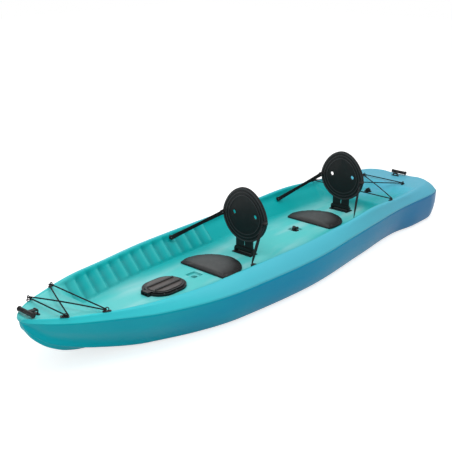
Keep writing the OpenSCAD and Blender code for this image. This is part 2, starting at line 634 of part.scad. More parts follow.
// An eye lies along the gunwale, with its cord leg towards the middle of the lacing
function eye_turn(eyes, i) = let (p = eyes[i], m = (eyes[0] + eyes[1] + eyes[2] + eyes[3]) / 4,
        lie = sign(p[1]) * (ridge_y(p[0] + probe) - ridge_y(p[0] - probe)))
    atan2(lie, 2 * probe) + (m[0] > p[0] ? 0 : 180);
function eye_foot(eyes, i) = foot(eyes[i], eye_turn(eyes, i), eye_l, eye_w);
function eye_dir(eyes, i) = tangent(eyes[i], eye_turn(eyes, i));
module at_eye(eyes, i) {
    along(eye_foot(eyes, i), eye_dir(eyes, i), deck_normal(eyes[i])) children();
}
module pad_eyes(eyes) {
    color(black) for (i = [0 : 3]) at_eye(eyes, i) pad_eye();
}
module pad_eye_screws() {
    color(steel) for (eyes = [bow_eyes, stern_eyes], i = [0 : 3], x = [-1, 1]) at_eye(eyes, i)
        translate([x * eye_screw_x, 0, eye_t]) screw();
}

// Bungee: one closed cord that turns round the cord leg of each eye, its two long runs crossing
cord_room = 2.6;
turn_r = (eye_bar + cord_d) / 2 + 0.4;
cord_rise = eye_t + head_h + cord_d / 2 + cord_room;
cross_lift = cord_d * 0.8;
function leg(eyes, i) = eye_foot(eyes, i) + eye_r * eye_dir(eyes, i) + cord_rise * deck_normal(eyes[i]);
// Points where the cord wraps a leg, on the side away from the two eyes that it runs to
turn_steps = 5;
function turn(eyes, i) = let (n = len(eyes), c = leg(eyes, i), ex = eye_dir(eyes, i),
        ey = cross(deck_normal(eyes[i]), ex), p = leg(eyes, (i + n - 1) % n) - c,
        q = leg(eyes, (i + 1) % n) - c,
        into = unit([p * ex, p * ey]), out = unit([q * ex, q * ey]),
        spin = sign(into[0] * out[1] - into[1] * out[0]),
        a0 = atan2(into[1], into[0]) - spin * 90, sweep = 180 - acos(into * out))
    [for (k = [0 : turn_steps]) let (b = a0 - spin * sweep * k / turn_steps)
        c + turn_r * (cos(b) * ex + sin(b) * ey)];
function run(p, q, lift) = [for (k = [1 : 7]) p + (q - p) * k / 8 + [0, 0, lift * sin(180 * k / 8)]];
function lacing(eyes) = let (t = [for (i = [0 : 3]) turn(eyes, i)])
    [for (i = [0 : 3], p = concat(t[i], run(t[i][turn_steps], t[(i + 1) % 4][0],
        i == 0 ? cross_lift : i == 2 ? -cross_lift : 0))) p];
cord_sides = 8;
module loop_tube(path, d) {
    n = len(path);
    m = cord_sides;
    rings = [for (i = [0 : n - 1]) let (t = unit(path[(i + 1) % n] - path[(i + n - 1) % n]),
            sx = unit(cross(t, [0, 0, 1])), sy = cross(sx, t))
        for (k = [0 : m - 1]) path[i] + d / 2 * (cos(360 * k / m) * sx + sin(360 * k / m) * sy)];
    polyhedron(rings, [for (i = [0 : n - 1], k = [0 : m - 1], f = [
        [i * m + k, i * m + (k + 1) % m, ((i + 1) % n) * m + (k + 1) % m],
        [i * m + k, ((i + 1) % n) * m + (k + 1) % m, ((i + 1) % n) * m + k]]) f]);
}
module bow_bungee() { color([0.08, 0.09, 0.1]) loop_tube(lacing(bow_eyes), cord_d); }
module stern_bungee() { color([0.08, 0.09, 0.1]) loop_tube(lacing(stern_eyes), cord_d); }

// Handles: a low loop on the deck, a webbing strap round its bar and a grip at the strap's end
loop_bar_d = 6;
loop_h = 19;
loop_span = 30;
handle_web_w = 22;
handle_web_t = 2.5;
handle_reach = 52;
grip_waist = grip_d - 6;
function handle_foot(k) = foot(handle_spots[k], 180 * k, anchor_l, anchor_w);
module at_handle(k) {
    along(handle_foot(k), tangent(handle_spots[k], 180 * k), deck_normal(handle_spots[k])) children();
}
module handle_anchor(k) {
    color(black) at_handle(k) difference() {
        union() {
            rotate([0, 0, 90]) oblong(anchor_w, anchor_l, eye_t);
            for (y = [-1, 1]) translate([0, y * loop_span / 2, 0]) cylinder(d = 7, h = loop_h + 2);
            translate([0, loop_span / 2, loop_h]) rotate([90, 0, 0]) cylinder(d = loop_bar_d, h = loop_span);
        }
        for (y = [-1, 1]) translate([0, y * (anchor_w / 2 - 6), -1]) cylinder(d = screw_d + 0.4, h = 20);
    }
}
module handle_strap(k) {
    r1 = loop_bar_d / 2 + gap;
    r2 = grip_waist / 2 + 0.2;
    color([0.14, 0.14, 0.15]) at_handle(k) translate([0, handle_web_w / 2, loop_h]) rotate([90, 0, 0])
        linear_extrude(handle_web_w) difference() {
            union() {
                circle(r = r1 + handle_web_t);
                translate([handle_reach, 0]) circle(r = r2 + handle_web_t);
                translate([0, -handle_web_t]) square([handle_reach, 2 * handle_web_t]);
            }
            circle(r = r1);
            translate([handle_reach, 0]) circle(r = r2);
        }
}
module handle_grip(k) {
    side = (grip_l - handle_web_w) / 2 - gap;
    color(black) at_handle(k) translate([handle_reach, grip_l / 2, loop_h]) rotate([90, 0, 0]) {
        cylinder(d = grip_waist, h = grip_l);
        for (z = [0, grip_l - side]) translate([0, 0, z]) cylinder(d = grip_d, h = side);
        for (z = [0, grip_l - 6]) translate([0, 0, z]) cylinder(d = grip_d + 4, h = 6);
    }
}
module handle_anchor_screws() {
    color(steel) for (k = [0, 1], y = [-1, 1]) at_handle(k) translate([0, y * (anchor_w / 2 - 6), eye_t])
        screw();
}

// Scupper plug: a stem in the rear scupper, a flange on the sump's floor and a three-lobed pull
plug_stem = 34;
plug_flange = scupper_d + 14;
pull_d = 20;
pull_z = 18;
pull_h = 10;
lobe_r = 14;
lobe_d = 19;
module scupper_plug() {
    color(black) translate([scupper_rear_x, 0, sump_floor(scupper_rear_x)]) {
        translate([0, 0, -plug_stem]) cylinder(d = scupper_d - 2 * gap, h = plug_stem + 1);
        cylinder(d = plug_flange, h = 5);
        cylinder(d = pull_d - 4, h = pull_z + 1);
        translate([0, 0, pull_z]) linear_extrude(pull_h) {
            circle(d = pull_d);
            for (a = [0, 120, 240]) rotate(a) translate([lobe_r, 0]) circle(d = lobe_d);
        }
    }
}

// Drain: a bush in the well's floor, a sealing ring and a knobbed plug
bush_d = 34;
bush_bore = 22;
module drain_bush() {
    color([0.2, 0.2, 0.21]) translate([drain_x, 0, well_h]) difference() {
        union() {
            cylinder(d = drain_d + 14, h = 3);
            translate([0, 0, -16]) cylinder(d = bush_d - 0.2, h = 17);
        }
        translate([0, 0, -30]) cylinder(d = bush_bore, h = 60);
    }
}
seal_t = 2;
module drain_seal() {
    color([0.3, 0.3, 0.3]) translate([drain_x, 0, well_h + 3]) difference() {
        cylinder(d = drain_d - 2, h = seal_t);
        translate([0, 0, -1]) cylinder(d = bush_bore + 1, h = seal_t + 2);
    }
}
module drain_plug() {
    color(black) translate([drain_x, 0, well_h + 3 + seal_t]) difference() {
        union() {
            cylinder(d = drain_d, h = 12);
            translate([0, 0, -18]) cylinder(d = bush_bore - 2 * gap, h = 19);
            translate([-drain_d / 2 + 4, -4, 11]) cube([drain_d - 8, 8, 9]);
        }
        for (a = [0 : 30 : 330]) rotate([0, 0, a]) translate([drain_d / 2 + 1.6, 0, -1])
            cylinder(d = 6, h = 20);
    }
}

deck();
hull_sheet();  // hull
scupper_tube(scupper_front_x);  // front_scupper_tube
scupper_tube(scupper_rear_x);  // rear_scupper_tube
hatch_rim();
hatch_gasket();
hatch_lid();
hatch_hinge_pin();
hatch_rim_screws();
seat_pad(seats[0]);  // front_seat_pad
seat_pad(seats[1]);  // rear_seat_pad
seat_back(seats[0]);  // front_seat_back
seat_back(seats[1]);  // rear_seat_back
seat_bracket(seats[0]);  // front_seat_bracket
seat_bracket(seats[1]);  // rear_seat_bracket
seat_pin(seats[0]);  // front_seat_pin
seat_pin(seats[1]);  // rear_seat_pin
seat_bracket_screws();
strap(seats[0], 1);  // front_port_strap
strap(seats[0], -1);  // front_starboard_strap
strap(seats[1], 1);  // rear_port_strap
strap(seats[1], -1);  // rear_starboard_strap
strap_posts();
strap_screws(seats, true);  // strap_anchor_screws
strap_screws([seats[0]], false);  // front_back_screws
strap_screws([seats[1]], false);  // rear_back_screws
pad_eyes(bow_eyes);  // bow_pad_eyes
pad_eyes(stern_eyes);  // stern_pad_eyes
pad_eye_screws();
bow_bungee();
stern_bungee();
handle_anchor(0);  // bow_handle_anchor
handle_strap(0);  // bow_handle_strap
handle_grip(0);  // bow_handle_grip
handle_anchor(1);  // stern_handle_anchor
handle_strap(1);  // stern_handle_strap
handle_grip(1);  // stern_handle_grip
handle_anchor_screws();
scupper_plug();
drain_bush();
drain_seal();
drain_plug();
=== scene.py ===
"""Looks of a two-seat sit-on-top kayak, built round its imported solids."""

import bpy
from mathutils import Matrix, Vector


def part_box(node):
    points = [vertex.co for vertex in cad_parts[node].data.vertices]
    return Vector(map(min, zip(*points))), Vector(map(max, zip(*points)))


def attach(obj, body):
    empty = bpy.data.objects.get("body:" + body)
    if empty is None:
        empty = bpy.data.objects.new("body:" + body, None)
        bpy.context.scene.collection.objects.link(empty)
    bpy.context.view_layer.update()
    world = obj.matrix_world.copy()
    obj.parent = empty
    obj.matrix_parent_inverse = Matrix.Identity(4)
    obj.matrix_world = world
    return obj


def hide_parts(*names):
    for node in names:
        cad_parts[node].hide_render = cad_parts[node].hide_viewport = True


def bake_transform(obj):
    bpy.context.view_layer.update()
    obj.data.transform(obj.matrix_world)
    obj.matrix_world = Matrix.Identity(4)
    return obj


bl_info = {
    "name": "Tandem Kayak",
    "version": (1, 0, 0),
    "blender": (4, 5, 0),
    "location": "View3D > Sidebar > Kayak",
    "description": "Builds a two-seat sit-on-top kayak round its packed solids",
    "category": "Add Mesh",
}

import math

import bmesh
import bpy
import numpy as np
from bpy.props import FloatProperty, FloatVectorProperty, IntProperty, PointerProperty
from bpy.types import Operator, Panel, PropertyGroup
from mathutils import Matrix, Vector

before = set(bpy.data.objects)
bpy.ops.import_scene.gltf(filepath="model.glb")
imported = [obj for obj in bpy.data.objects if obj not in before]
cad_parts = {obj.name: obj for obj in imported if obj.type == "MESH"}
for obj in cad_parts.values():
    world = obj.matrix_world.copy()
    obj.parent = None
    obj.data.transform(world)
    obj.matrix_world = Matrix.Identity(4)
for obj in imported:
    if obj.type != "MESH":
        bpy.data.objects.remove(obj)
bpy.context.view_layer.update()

# Lines of the boat, as shares of the half beam or of the named heights, from the stern at -1 to the bow at 1
CREASE = ((-1, 0.38), (-0.985, 0.62), (-0.955, 0.735), (-0.88, 0.785), (-0.7, 0.79), (-0.35, 0.89), (0.05, 1),
          (0.35, 0.965), (0.65, 0.755), (0.85, 0.46), (0.93, 0.3), (0.98, 0.15), (1, 0.07))
CHINE = ((-1, 0.34), (-0.985, 0.58), (-0.955, 0.7), (-0.88, 0.765), (-0.78, 0.77), (-0.64, 0.715),
         (-0.35, 0.82), (0.02, 0.94), (0.35, 0.86), (0.65, 0.52), (0.8, 0.3), (0.9, 0.15), (1, 0.04))
INSET = ((-1, 1), (-0.88, 0.85), (-0.78, 0.6), (-0.68, 0.48), (-0.58, 0.5), (-0.42, 0.58), (-0.28, 0.67),
         (-0.14, 0.89), (0, 0.99), (0.15, 1.02), (0.36, 0.97), (0.5, 0.83), (0.65, 0.59), (0.79, 0.36),
         (0.85, 0.3), (1, 0.1))
BILGE = ((-1, 3.8), (-0.96, 1.7), (-0.9, 1), (0.5, 1), (0.65, 1.3), (0.8, 2.7), (0.92, 5), (1, 8.95))
KEEL = ((-1, 0.4), (-0.985, 0.24), (-0.955, 0.1), (-0.9, 0), (0.6, 0), (0.77, 0.07), (0.83, 0.11),
        (0.87, 0.17), (0.9, 0.25), (0.935, 0.38), (0.967, 0.56), (0.99, 0.76), (1, 0.87))
# Rise of the ridge over its height amidships, and of the crease over its own, in metres
RIDGE = ((-0.64, 0.002), (-0.43, 0.022), (-0.22, 0.008), (0, 0), (0.3, 0), (0.5, -0.004), (0.65, 0.003),
         (0.8, 0.014))
SHEER = ((-1, -0.002), (-0.5, 0.0045), (0, 0), (0.36, 0.005), (0.5, 0.009), (0.65, 0.023), (0.79, 0.046),
         (0.85, 0.055))
# Drop of the crease below the deck at the bow, and length of the rounding at either end
BOW_DROP = 0.0195
END_DOME = 0.014
# Drop of the decks below the ridge at the stern, the aft ramp, the bow ramp, the nose and the bow
STERN_FALL, AFT_FALL, RAMP_FALL, NOSE_FALL, BOW_FALL = 0.004, 0.005, 0.022, 0.008, 0.002
# Place of the foredeck's last station before the bow
NOSE_X = 1.528
# Share of a foot-brace step that rises, and power of its fall
RIB_RISE, RIB_FALL = 0.13, 0.8
# Share of a step at which the shading of its foot starts, the shading's run and its power
FOOT_START, FOOT_RUN, FOOT_POWER = 0.3, 0.65, 1.5
# Numbers of stations round an end, aft of the steps, in each step and forward of the steps
END_STATIONS, AFT_STATIONS, STEP_STATIONS, BOW_STATIONS = 7, 130, 12, 40
# Distances under which points of a shell and of a solid are one, and angle under which facets are one face
SHELL_MERGE, SOLID_MERGE, FACET_ANGLE = 1e-5, 2e-5, math.radians(1.5)
# Angles in degrees from which edges show as sharp: on plain meshes, on sheets, on cords, straps and pads,
# and on solids, where such edges are rounded
PLAIN_ANGLE, SHEET_ANGLE, SOFT_ANGLE, EDGE_ANGLE = 40, 50, 60, 32
# Height under which every hole of the boat lies, and height over a floor up to which faces are cut away
HOLE_TOP, CUT_TOP = 0.2, 0.001


def length(name, default, description):
    """A size in metres for the sidebar."""
    return FloatProperty(name=name, description=description, default=default, unit="LENGTH", precision=4)


def colour(name, default, description):
    """A colour for the sidebar."""
    return FloatVectorProperty(name=name, description=description, default=default, subtype="COLOR", size=3,
                               min=0.0, max=1.0)


class KayakSizes(PropertyGroup):
    """Sizes of the boat, as the solids have them."""

    hull_len: length("Length", 3.35, "Length from stern to bow")
    beam: length("Beam", 0.9, "Greatest width, at the crease")
    gunwale_h: length("Gunwale height", 0.26, "Height of the gunwale ridge amidships")
    bow_h: length("Bow height", 0.296, "Height of the deck at the bow")
    stern_h: length("Stern height", 0.24, "Height of the deck at the stern")
    crease_h: length("Crease height", 0.193, "Height of the crease amidships")
    band_w: length("Band inset", 0.09, "Inset of the ridge from the crease amidships")
    wall: length("Wall", 0.004, "Thickness of the two formed sheets")
    tunnel_d: length("Tunnel depth", 0.012, "Depth of the tunnels beside the keel")
    keel_w: length("Keel strip", 0.06, "Half width of the flat keel strip")
    bilge_h: length("Bilge height", 0.03, "Height of the bilge above the bottom")
    floor_h: length("Floor height", 0.14, "Height of the cockpit floor")
    rear_floor_h: length("Rear floor height", 0.155, "Height of the rear cockpit's floor")
    rear_floor_front: length("Rear floor front", -0.07, "Forward end of the rear cockpit's floor")
    floor_slope: length("Floor slope", 0.13, "Run of the slope from there down to the front floor")
    well_h: length("Well height", 0.205, "Height of the stern well's floor")
    well_front: length("Well front", -0.96, "Forward end of the stern well's step")
    well_step: length("Well step", 0.07, "Run of that step")
    well_aft: length("Well aft", -1.3, "Aft end of the stern well")
    well_ramp: length("Well ramp", 0.09, "Run of the ramp up to the aft deck")
    floor_front: length("Floor front", 1.19, "Forward end of the level floor")
    bow_ramp: length("Bow ramp", 0.15, "Run of the ramp up to the bow deck")
    side_run: length("Side run", 0.108, "Run of the sloping side walls")
    crest_w: length("Crest", 0.018, "Half width of the gunwale's crest")
    rib_count: IntProperty(name="Steps", description="Foot-brace steps on each side wall", default=13)
    rib_pitch: length("Step pitch", 0.088, "Distance from step to step")
    rib_d: length("Step height", 0.013, "Height of a step")
    rib_x0: length("Aftmost step", 0.11, "Place of the aftmost step")
    seat_x: length("Front hinge", 0.115, "Place of the front seat back's hinge")
    seat_pitch: length("Seat pitch", 1.0, "Distance from hinge to hinge")
    hinge_h: length("Hinge height", 0.02, "Height of a hinge above the floor")
    back_w: length("Back width", 0.332, "Width of a seat back")
    back_t: length("Back plate", 0.013, "Thickness of a seat back's plate")
    pad_w: length("Pad width", 0.344, "Width of a seat pad's straight front edge")
    pad_depth: length("Pad depth", 0.262, "Depth of a seat pad")
    pad_t: length("Pad side", 0.018, "Height of a seat pad's side")
    pad_gap: length("Pad gap", 0.112, "Distance from a hinge to the rear of its pad")
    strap_w: length("Strap width", 0.026, "Width of a strap")
    strap_t: length("Strap thickness", 0.003, "Thickness of a strap")
    strap_reach: length("Strap reach", 0.302, "Distance from a hinge forward to its strap anchors")
    strap_rise: length("Strap rise", 0.205, "Height of a strap's upper end above the hinge")
    stand_off: length("Strap stand-off", 0.011, "Distance of a strap's lower end from the wall")
    ear_out: length("Ear out", 0.0155, "Distance of a strap's upper end before the back's plate")
    ear_in: length("Ear in", 0.012, "Distance of a strap's upper end in from the back's edge")
    hatch_x: length("Hatch place", 0.775, "Place of the hatch along the boat")
    hatch_hole_l: length("Hatch hole length", 0.22, "Length of the hole under the hatch")
    hatch_hole_w: length("Hatch hole width", 0.16, "Width of the hole under the hatch")
    scupper_front_x: length("Front scupper", 0.545, "Place of the front scupper")
    scupper_rear_x: length("Rear scupper", -0.375, "Place of the rear scupper")
    flange_d: length("Scupper flange", 0.078, "Diameter of the flange at a scupper's foot")
    sump_w: length("Sump side", 0.07, "Side of the square sump round a scupper")
    cord_d: length("Cord", 0.005, "Diameter of the bungee cord")
    turn_r: length("Cord turn", 0.0054, "Radius at which the cord turns round an eye's leg")


class KayakColours(PropertyGroup):
    """Colours of the boat."""

    teal: colour("Teal", (0.030, 0.660, 0.710), "Deck at the bow")
    azure: colour("Azure", (0.095, 0.550, 0.680), "Deck amidships")
    slate: colour("Slate", (0.125, 0.530, 0.710), "Deck at the stern")
    # Hull colours: the deck's plastic darkened with painted shade of the hull's sides
    shaded_hull_teal: colour("Hull teal", (0.002, 0.480, 0.560), "Hull at the bow")
    shaded_hull_azure: colour("Hull azure", (0.002, 0.300, 0.520), "Hull amidships")
    shaded_hull_slate: colour("Hull slate", (0.030, 0.215, 0.460), "Hull at the stern")
    cockpit: colour("Cockpit", (0.003, 0.450, 0.455), "Plastic inside the cockpit")
    pale: colour("Pale", (0.190, 0.820, 0.790), "Paler plastic of the floor")
    black: colour("Black", (0.0075, 0.0075, 0.008), "Moulded fittings")
    pad: colour("Pad", (0.062, 0.065, 0.066), "Seat pads")
    webbing: colour("Webbing", (0.006, 0.006, 0.0065), "Straps")
    cord: colour("Cord", (0.005, 0.006, 0.007), "Bungees")
    steel: colour("Steel", (0.11, 0.11, 0.115), "Blackened screws and pins")
    lid: colour("Lid", (0.075, 0.064, 0.061), "Hatch lid")


def seats(s):
    """The two seats by name, each with the place of its hinge."""
    return (("front", s.seat_x), ("rear", s.seat_x - s.seat_pitch))


# Lines and sections

def spline(a, b, slope_a, slope_b, u):
    """Cubic from one value to another, with its slope at either end."""
    return (a * (1 + 2 * u) * (1 - u) ** 2 + slope_a * u * (1 - u) ** 2
            + b * u * u * (3 - 2 * u) + slope_b * u * u * (u - 1))


def harmonic(a, b):
    """Slope at a knot between two straight runs, flat where they turn back."""
    total = np.where(np.abs(a + b) < 1e-12, 1.0, a + b)
    return np.where(a * b <= 0, 0.0, 2 * a * b / total)


def fair(table, x):
    """Monotone curve through a table of stations."""
    t = np.asarray(table, float)
    px, py = t[:, 0], t[:, 1]
    h = np.diff(px)
    r = np.diff(py) / h
    m = np.concatenate((r[:1], harmonic(r[:-1], r[1:]), r[-1:]))
    x = np.clip(np.asarray(x, float), px[0], px[-1])
    i = np.clip(np.searchsorted(px, x, side="right") - 1, 0, len(h) - 1)
    return spline(py[i], py[i + 1], h[i] * m[i], h[i] * m[i + 1], (x - px[i]) / h[i])


def smooth_step(x):
    x = np.clip(x, 0.0, 1.0)
    return x * x * (3 - 2 * x)


class Lines:
    """The boat's lines at any distance along it."""

    def __init__(self, s):
        self.s = s
        self.half = s.hull_len / 2

    def crease_y(self, x):
        return self.s.beam / 2 * fair(CREASE, x / self.half)

    def chine_y(self, x):
        return self.s.beam / 2 * fair(CHINE, x / self.half)

    def ridge_y(self, x):
        return self.crease_y(x) - self.s.band_w * fair(INSET, x / self.half)

    def ridge_z(self, x):
        s = self.s
        table = ((-1, s.stern_h), *((t, s.gunwale_h + z) for t, z in RIDGE), (1, s.bow_h))
        return fair(table, x / self.half)

    def crease_z(self, x):
        s = self.s
        table = (*((t, s.crease_h + z) for t, z in SHEER), (1, s.bow_h - BOW_DROP))
        return fair(table, x / self.half)

    def keel_z(self, x):
        return self.s.bow_h * fair(KEEL, x / self.half)

    def chine_z(self, x):
        return self.s.bilge_h * fair(BILGE, x / self.half)

    def floor_z(self, x):
        s = self.s
        aft, fore = s.well_aft - s.well_ramp, s.floor_front + s.bow_ramp
        table = ((-self.half, s.stern_h - STERN_FALL), (aft, float(self.ridge_z(aft)) - AFT_FALL),
                 (s.well_aft, s.well_h), (s.well_front - s.well_step, s.well_h),
                 (s.well_front, s.rear_floor_h), (s.rear_floor_front, s.rear_floor_h),
                 (s.rear_floor_front + s.floor_slope, s.floor_h),
                 (s.floor_front, s.floor_h), (fore, float(self.ridge_z(fore)) - RAMP_FALL),
                 (NOSE_X, float(self.ridge_z(NOSE_X)) - NOSE_FALL), (self.half, s.bow_h - BOW_FALL))
        return fair(table, x)

    def floor_at(self, x):
        """Level of the floor under a fitting."""
        return self.s.rear_floor_h if x < self.s.rear_floor_front else self.s.floor_h

    def wall_run(self, x):
        return np.minimum(self.s.side_run, 0.4 * self.ridge_y(x))

    def rib_phase(self, x):
        """Number of steps from the aftmost one, and the share of the step reached."""
        phase = (x - self.s.rib_x0) / self.s.rib_pitch
        return phase, phase - np.floor(phase)

    def rib(self, x):
        """Rounded foot-brace steps: a short rise that looks aft, then a long fall towards the bow."""
        phase, p = self.rib_phase(x)
        inside = (phase >= 0) & (phase < self.s.rib_count)
        return np.where(inside, self.s.rib_d * smooth_step(p / RIB_RISE) * (1 - p) ** RIB_FALL, 0.0)

    def rib_foot(self, x):
        """How near a place is to the low end of a step, from 0 to 1."""
        phase, p = self.rib_phase(x)
        inside = (phase > FOOT_START) & (phase < self.s.rib_count)
        return np.where(inside, smooth_step((p - FOOT_START) / FOOT_RUN) ** FOOT_POWER, 0.0)

    def deck_rows(self, x, d):
        """Rows of the deck's half section, from the crease to the middle, as points (y, z).

        The shares are of the wall's run and height, and d is the height of a step on it."""
        yc, zc, yr, zr = self.crease_y(x), self.crease_z(x), self.ridge_y(x), self.ridge_z(x)
        zf, run = self.floor_z(x), self.wall_run(x)
        h = zr - zf
        e = np.minimum(self.s.crest_w, 0.12 * run)
        b = 0.07 * (yc - yr)
        rows = ((yc, zc), ((yc + yr) / 2 + b, (zc + zr) / 2 + b), (yr + e, zr - 0.25 * e), (yr, zr),
                (yr - e - 0.2 * d, zr - np.minimum(0.005, 0.3 * h)),
                (yr - 0.18 * run - 0.64 * d, zr - 0.24 * h + 0.77 * d),
                (yr - 0.5 * run - 0.64 * d, zr - 0.56 * h + 0.77 * d),
                (yr - 0.84 * run - 0.5 * d, zf + 0.12 * h + 0.6 * d),
                (yr - run, zf), (0.5 * (yr - run), zf), (0 * yr, zf))
        return np.stack([np.stack(r, -1) for r in rows], 1)

    def hull_rows(self, x):
        """Rows of the hull's half section, from the middle to the crease.

        The shares are of the width from the keel strip to the bilge and of the bilge's height."""
        s = self.s
        yb, zb, zk = self.chine_y(x), self.chine_z(x), self.keel_z(x)
        yc, zc = self.crease_y(x), self.crease_z(x)
        yk = np.minimum(s.keel_w, 0.3 * yb)
        zr = np.maximum(zk, zb - s.bilge_h)
        low = zr + 0.02 * (zb - zr)
        rows = ((0 * yb, zk), (yk, zk),
                (yk + 0.3 * (yb - yk), 0.5 * (zk + zr) + np.minimum(s.tunnel_d, 0.05 * yb)),
                (yk + 0.52 * (yb - yk), low), (0.87 * yb, low), (0.96 * yb, zr + 0.35 * (zb - zr)),
                (yb, zb), ((yb + yc) / 2 + 0.02 * yc, (zb + zc) / 2), (yc, zc))
        return np.stack([np.stack(r, -1) for r in rows], 1)

    def stations(self):
        """Distances along the boat, close together at the rounded ends and on the foot braces."""
        s = self.s
        turn = END_DOME * (1 - np.cos(np.radians(np.linspace(0, 90, END_STATIONS))))
        rib_end = s.rib_x0 + s.rib_count * s.rib_pitch
        first, last = -self.half + END_DOME, self.half - END_DOME
        return np.concatenate((
            -self.half + turn[:-1],
            np.linspace(first, s.rib_x0, AFT_STATIONS)[:-1],
            np.linspace(s.rib_x0, rib_end, s.rib_count * STEP_STATIONS + 1)[:-1],
            np.linspace(rib_end, last, BOW_STATIONS)[:-1],
            self.half - turn[::-1]))

    def rounded_ends(self, x, p):
        """Draws the sections in to a point at the two ends."""
        t = np.clip((np.abs(x) - (self.half - END_DOME)) / END_DOME, 0, 1)
        k = np.sqrt(1 - t * t)[:, None]
        zc = self.crease_z(x)[:, None]
        return np.stack((p[..., 0] * k, zc + (p[..., 1] - zc) * k), -1)


def sampled(rows, counts):
    """Smooth points along each section, a set number in each run between rows."""
    step = np.diff(rows, axis=1)
    chord = np.maximum(np.linalg.norm(step, axis=2, keepdims=True), 1e-6)
    r = step / chord
    m = np.concatenate((r[:, :1], harmonic(r[:, :-1], r[:, 1:]), r[:, -1:]), 1)
    found = [spline(rows[:, k], rows[:, k + 1], chord[:, k] * m[:, k], chord[:, k] * m[:, k + 1], u)
             for k, n in enumerate(counts) for u in np.arange(n) / n]
    return np.stack(found + [rows[:, -1]], 1)


def shell_grid(x, half, marks=None):
    """A grid of faces laid over both sides of a row of half sections that end in the middle.

    marks names values from 0 to 1 that are kept on the points, one for each point of a half section."""
    starboard = half[:, ::-1] * np.array([-1.0, 1.0])
    across = np.concatenate((half, starboard[:, 1:]), 1)
    bm = bmesh.new()
    kept = [(bm.verts.layers.float.new(name), np.concatenate((v, v[:, ::-1][:, 1:]), 1))
            for name, v in (marks or {}).items()]
    rows, columns = len(x) - 1, across.shape[1] - 1
    bmesh.ops.create_grid(bm, x_segments=rows, y_segments=columns, size=1.0)
    for v in bm.verts:
        i = round((v.co.x + 1) / 2 * rows)
        j = round((v.co.y + 1) / 2 * columns)
        v.co = (x[i], across[i, j, 0], across[i, j, 1])
        for layer, values in kept:
            v[layer] = values[i, j]
    bmesh.ops.remove_doubles(bm, verts=bm.verts, dist=SHELL_MERGE)
    return bm


# Mesh helpers

def turned_towards(bm, way):
    """Makes the faces agree, with their mean normal along a direction."""
    bmesh.ops.recalc_face_normals(bm, faces=bm.faces)
    if sum(f.normal.dot(way) * f.calc_area() for f in bm.faces) < 0:
        bmesh.ops.reverse_faces(bm, faces=bm.faces)


def mesh_from(bm, name):
    mesh = bpy.data.meshes.new(name)
    bm.to_mesh(mesh)
    bm.free()
    return mesh


def shown(mesh, name, smooth_angle=PLAIN_ANGLE):
    """A mesh object at the origin, smooth but for its sharp edges."""
    for p in mesh.polygons:
        p.use_smooth = True
    mesh.set_sharp_from_angle(angle=math.radians(smooth_angle))
    obj = bpy.data.objects.new(name, mesh)
    bpy.context.scene.collection.objects.link(obj)
    return obj


def thickened(obj, name, thickness):
    """Gives a sheet its thickness, behind its faces."""
    sheet = obj.modifiers.new(name, "SOLIDIFY")
    sheet.thickness = thickness
    sheet.offset = -1.0


def dressed(obj, material, body, node):
    """Gives a piece its finish, its body and the solid that it stands for."""
    obj.data.materials.clear()
    obj.data.materials.append(material)
    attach(obj, body)
    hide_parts(node)


def halved(bm):
    """Cuts a solid's faces along and across its middle, so that no flat face runs right round a hole."""
    middle = sum((v.co for v in bm.verts), Vector()) / len(bm.verts)
    for normal in (Vector((1, 0, 0)), Vector((0, 1, 0))):
        cut = bmesh.ops.bisect_plane(bm, geom=bm.verts[:] + bm.edges[:] + bm.faces[:], dist=1e-6,
                                     plane_co=middle, plane_no=normal)["geom_cut"]
        for e in cut:
            if isinstance(e, bmesh.types.BMEdge):
                e.seam = True


def mark(mesh, name, share):
    """Keeps a value from 0 to 1 on each point of a mesh, for its material."""
    layer = mesh.attributes.new(name, "FLOAT", "POINT")
    for v, kept in zip(mesh.vertices, layer.data):
        kept.value = share(v.co)


def softened(node, name, width, segments=2):
    """A copy of a solid with its facets joined and its edges rounded."""
    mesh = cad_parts[node].data.copy()
    mesh.name = name
    bm = bmesh.new()
    bm.from_mesh(mesh)
    bmesh.ops.remove_doubles(bm, verts=bm.verts, dist=SOLID_MERGE)
    halved(bm)
    bmesh.ops.dissolve_limit(bm, angle_limit=FACET_ANGLE, use_dissolve_boundaries=False, verts=bm.verts,
                             edges=bm.edges, delimit={"SEAM"})
    bm.to_mesh(mesh)
    bm.free()
    obj = shown(mesh, name, EDGE_ANGLE)
    bevel = obj.modifiers.new("Rounded edges", "BEVEL")
    bevel.width = width
    bevel.segments = segments
    bevel.limit_method = "ANGLE"
    bevel.angle_limit = math.radians(EDGE_ANGLE)
    bevel.harden_normals = True
    return obj


def ring_edges(verts):
    chosen = set(verts)
    return list({e for v in verts for e in v.link_edges if e.verts[0] in chosen and e.verts[1] in chosen})


def extruded(bm, ring):
    """Extrudes a ring of edges and returns its new points."""
    made = bmesh.ops.extrude_edge_only(bm, edges=ring)["geom"]
    return [g for g in made if isinstance(g, bmesh.types.BMVert)]


def cut_hole(bm, inside, centre, reach, shapes):
    """Deletes the faces inside a hole and leads the edge left round it through shapes of the angle."""
    gone = [f for f in bm.faces if all(inside(v.co) for v in f.verts)]
    bmesh.ops.delete(bm, geom=gone, context="FACES")
    ring = [e for e in bm.edges if e.is_boundary
            and all((v.co.xy - centre).length < reach and v.co.z < HOLE_TOP for v in e.verts)]
    for shape in shapes:
        made = extruded(bm, ring)
        for v in made:
            v.co = shape(math.atan2(v.co.y - centre.y, v.co.x - centre.x))
        ring = ring_edges(made)


def rounded_square(centre, a, z, power):
    """Shape of a square with round corners and half side a, or of a disc at a power of 2."""
    def shape(t):
        c, s = math.cos(t), math.sin(t)
        r = a / (abs(c) ** power + abs(s) ** power) ** (1 / power)
        return Vector((centre.x + r * c, centre.y + r * s, z))
    return shape


